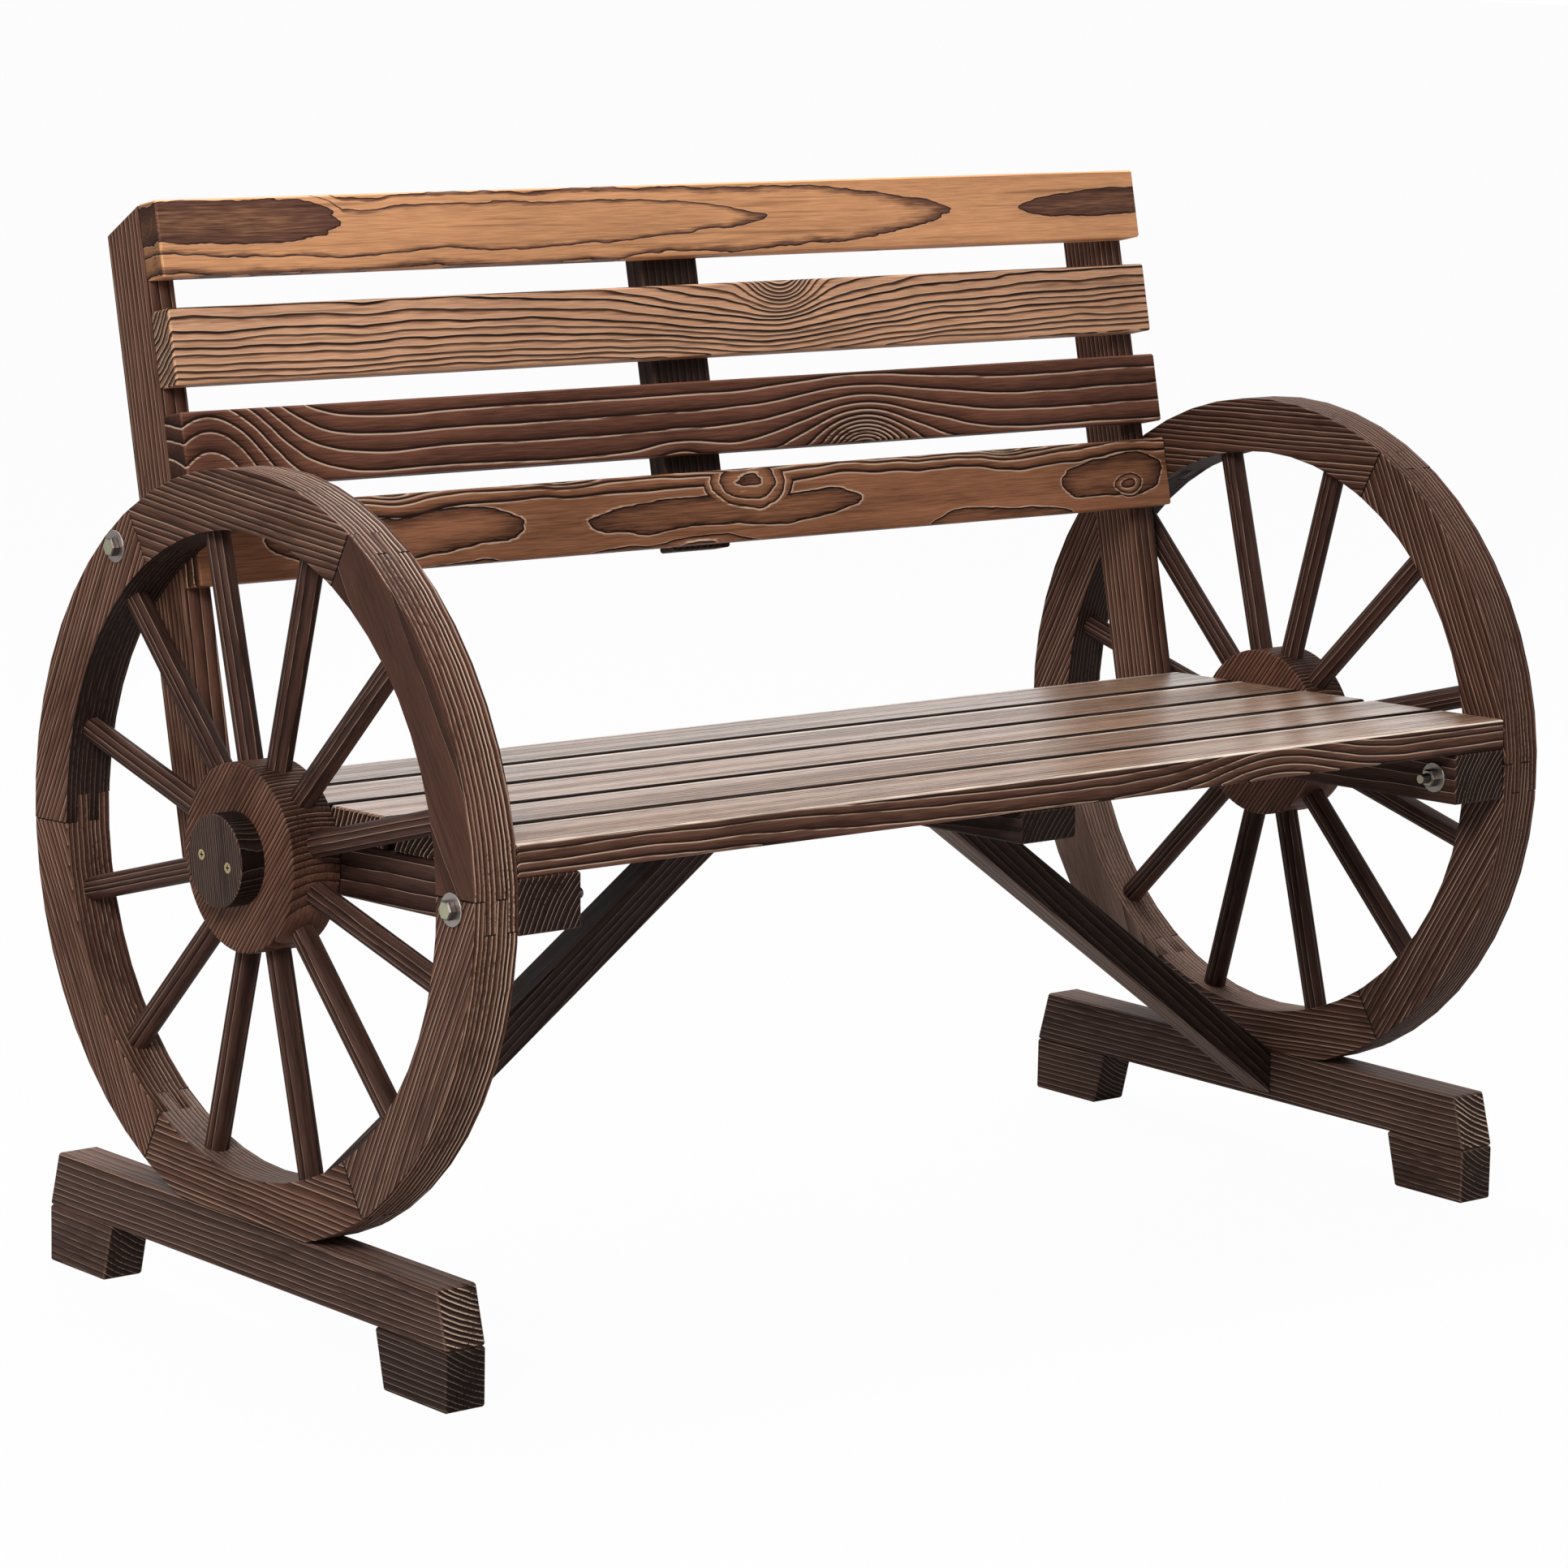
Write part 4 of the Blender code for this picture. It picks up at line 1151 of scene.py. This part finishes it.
class BENCH_OT_hardware(bpy.types.Operator):
    """Finish the bolts, nuts, washers and cap screws"""

    bl_idname = "bench.hardware"
    bl_label = "Hardware"

    def execute(self, context):
        group = colours()
        zinc = plated_metal("yellow_zinc_plate", group.zinc, roughness=0.38)
        # Dark zinc that paints the shade on the sides of bolt heads and nuts.
        zinc_shade = plated_metal("zinc_shade_plate", group.zinc_shade, roughness=0.40)
        # Washer plates that paint a highlight on the rims and shade on the faces.
        washer = plated_metal("washer_highlight_plate", group.washer, roughness=0.34)
        washer_shade = plated_metal("washer_face_shade_plate", group.washer_shade, roughness=0.34)
        brass = plated_metal("brass_heads", group.brass, roughness=0.32)
        # Darkened brass that paints the shade in the cross recesses.
        recess_shade = plated_metal("brass_recess", group.brass * RECESS_SHADE_SHARE, roughness=0.6)
        for side in SIDES:
            for place in ENDS:
                for kind in ("hex_nut", "head_washer", "nut_washer", "hex_bolt"):
                    node = f"{kind}_{place}_{side}"
                    piece = copied_node(node, "metal", (washer, washer_shade) if "washer" in kind else (zinc_shade, zinc))
                    # Faces square to the bolt take the bright plate and the rest painted shade; on washers
                    # the faces take painted shade and the rims a painted highlight.
                    for face in piece.data.polygons:
                        face.material_index = int(abs(face.normal.x) > HEAD_ON)
                    if kind == "hex_bolt":
                        self.cut_thread(piece, side)
                    else:
                        round_edges(sizes().metal_round)
                    smooth_shade(piece, angle=35.0)
                    settle(piece, "yellow_zinc", node)
            for number in (1, 2):
                node = f"cap_screw_{side}_{number}"
                piece = copied_node(node, "metal", (brass, recess_shade))
                self.darken_recess(piece)
                smooth_shade(piece, angle=35.0)
                settle(piece, "brass_screw", node)
        return {"FINISHED"}

    def darken_recess(self, screw):
        """Gives the floor and walls of a screw's cross recess the darker metal that paints the shade in it.
        """
        out = max(abs(vertex.co.x) for vertex in screw.data.vertices)
        for face in screw.data.polygons:
            deep = out - abs(face.center.x)
            facing = abs(face.normal.x)
            square = facing > HEAD_ON or facing < 1.0 - HEAD_ON
            face.material_index = int(RECESS[0] < deep < RECESS[1] and square)

    def cut_thread(self, bolt, side):
        """Rings the inner end of a bolt with the ridges of its thread."""
        group = sizes()
        mesh = bolt.data
        inward = 1.0 if side == "left" else -1.0
        end = max(vertex.co.x * inward for vertex in mesh.vertices)
        middle = [vertex.co.copy() for vertex in mesh.vertices if vertex.co.x * inward > end - MERGE]
        axis = sum(middle, Vector()) / len(middle)
        step = group.thread_pitch / 2
        rings = int(group.thread_length / step)
        cut_across(bolt, ALONG_BENCH, [inward * (end - ring * step) for ring in range(1, rings + 1)])
        for vertex in mesh.vertices:
            ring = (end - vertex.co.x * inward) / step
            if ring < rings - 0.5 and round(ring) % 2 == 0:
                vertex.co.y = axis.y + (vertex.co.y - axis.y) * THREAD_ROOT
                vertex.co.z = axis.z + (vertex.co.z - axis.z) * THREAD_ROOT


class BENCH_OT_studio(bpy.types.Operator):
    """Set the floor, the lamps and the camera"""

    bl_idname = "bench.studio"
    bl_label = "Studio"

    def execute(self, context):
        self.make_floor(context)
        self.make_sky(context)
        group = context.scene.bench_studio
        self.make_lamp("top_lamp", TOP_LAMP, group.top_power)
        self.make_lamp("key_lamp", KEY_LAMP, group.key_power)
        self.make_camera(context)
        context.scene.view_settings.view_transform = "Standard"
        return {"FINISHED"}

    def seen_directly(self, graph, glossy=1.0):
        """One where the camera or a refraction looks at the backdrop, and a share of it for reflections."""
        path = graph.tree.nodes.new("ShaderNodeLightPath")
        camera, shine, through = (Value(graph, path.outputs[name]) for name in (
            "Is Camera Ray", "Is Glossy Ray", "Is Transmission Ray"))
        return (camera + shine * glossy + through).math("MINIMUM", 1.0)

    def make_floor(self, context):
        half = context.scene.bench_studio.floor_half
        bpy.ops.object.select_all(action="DESELECT")
        bpy.ops.mesh.primitive_plane_add(size=2.0 * half, location=(0.0, 0.0, -FLOOR_DROP))
        floor = context.active_object
        floor.name = "studio_floor"
        bpy.ops.object.transform_apply(location=True, rotation=True, scale=True)
        material, graph = new_material("pale_floor")
        graph.set(Base_Color=FLOOR_GREY, Roughness=0.9)
        glow = graph.node("ShaderNodeEmission", None, {"Color": WHITE, "Strength": 1.0})
        share = self.seen_directly(graph, glossy=0.0) * FLOOR_GLOW
        surface = graph.tree.nodes["Material Output"].inputs["Surface"]
        plain = Value(graph, graph.shader.outputs[0])
        mix = graph.node("ShaderNodeMixShader", None, {0: share, 1: plain, 2: glow})
        graph.connect(mix, surface)
        floor.data.materials.append(material)

    def make_sky(self, context):
        world = bpy.data.worlds.new("studio_sky")
        world.use_nodes = True
        context.scene.world = world
        graph = Graph(world.node_tree)
        sky = graph.tree.nodes["Background"]
        sky.inputs["Color"].default_value = WHITE
        level = context.scene.bench_studio.sky
        seen = self.seen_directly(graph)
        graph.connect(seen * (1.0 - level) + level, sky.inputs["Strength"])

    def make_lamp(self, name, shape, power):
        data = bpy.data.lights.new(name, "AREA")
        data.shape = "DISK"
        data.size = shape.size
        data.energy = power
        lamp = bpy.data.objects.new(name, data)
        bpy.context.scene.collection.objects.link(lamp)
        lamp.location = shape.place
        aim = Vector(shape.target) - Vector(shape.place)
        lamp.rotation_euler = aim.to_track_quat("-Z", "Y").to_euler()

    def make_camera(self, context):
        group = context.scene.bench_studio
        data = bpy.data.cameras.new("photo_camera")
        data.lens = group.lens
        data.sensor_width = FILM_WIDTH
        camera = bpy.data.objects.new("photo_camera", data)
        context.scene.collection.objects.link(camera)
        stand = Matrix.Translation(group.place)
        for angle, axis in ((-group.yaw, "Z"), (math.pi / 2 + group.pitch, "X"), (group.roll, "Z")):
            stand = stand @ Matrix.Rotation(angle, 4, axis)
        camera.matrix_world = stand
        context.scene.camera = camera


class BENCH_PT_panel(bpy.types.Panel):
    """Lists the steps that dress the bench"""

    bl_idname = "BENCH_PT_panel"
    bl_label = "Wagon wheel bench"
    bl_space_type = "VIEW_3D"
    bl_region_type = "UI"
    bl_category = "Bench"

    def draw(self, context):
        for operator in STEPS:
            self.layout.operator(operator.bl_idname)


STEPS = (
    BENCH_OT_back_slats,
    BENCH_OT_seat_slats,
    BENCH_OT_frame_boards,
    BENCH_OT_skids,
    BENCH_OT_rims,
    BENCH_OT_hubs,
    BENCH_OT_caps,
    BENCH_OT_hardware,
    BENCH_OT_studio,
)
GROUPS = (("bench_colours", BenchColours), ("bench_sizes", BenchSizes), ("bench_studio", BenchStudio))


def register():
    for name, group in GROUPS:
        bpy.utils.register_class(group)
        setattr(bpy.types.Scene, name, bpy.props.PointerProperty(type=group))
    for item in (*STEPS, BENCH_PT_panel):
        bpy.utils.register_class(item)


def unregister():
    for item in (BENCH_PT_panel, *reversed(STEPS)):
        bpy.utils.unregister_class(item)
    for name, group in reversed(GROUPS):
        delattr(bpy.types.Scene, name)
        bpy.utils.unregister_class(group)


def main():
    register()
    for step in STEPS:
        family, name = step.bl_idname.split(".")
        getattr(getattr(bpy.ops, family), name)()


if __name__ == "__main__":
    main()
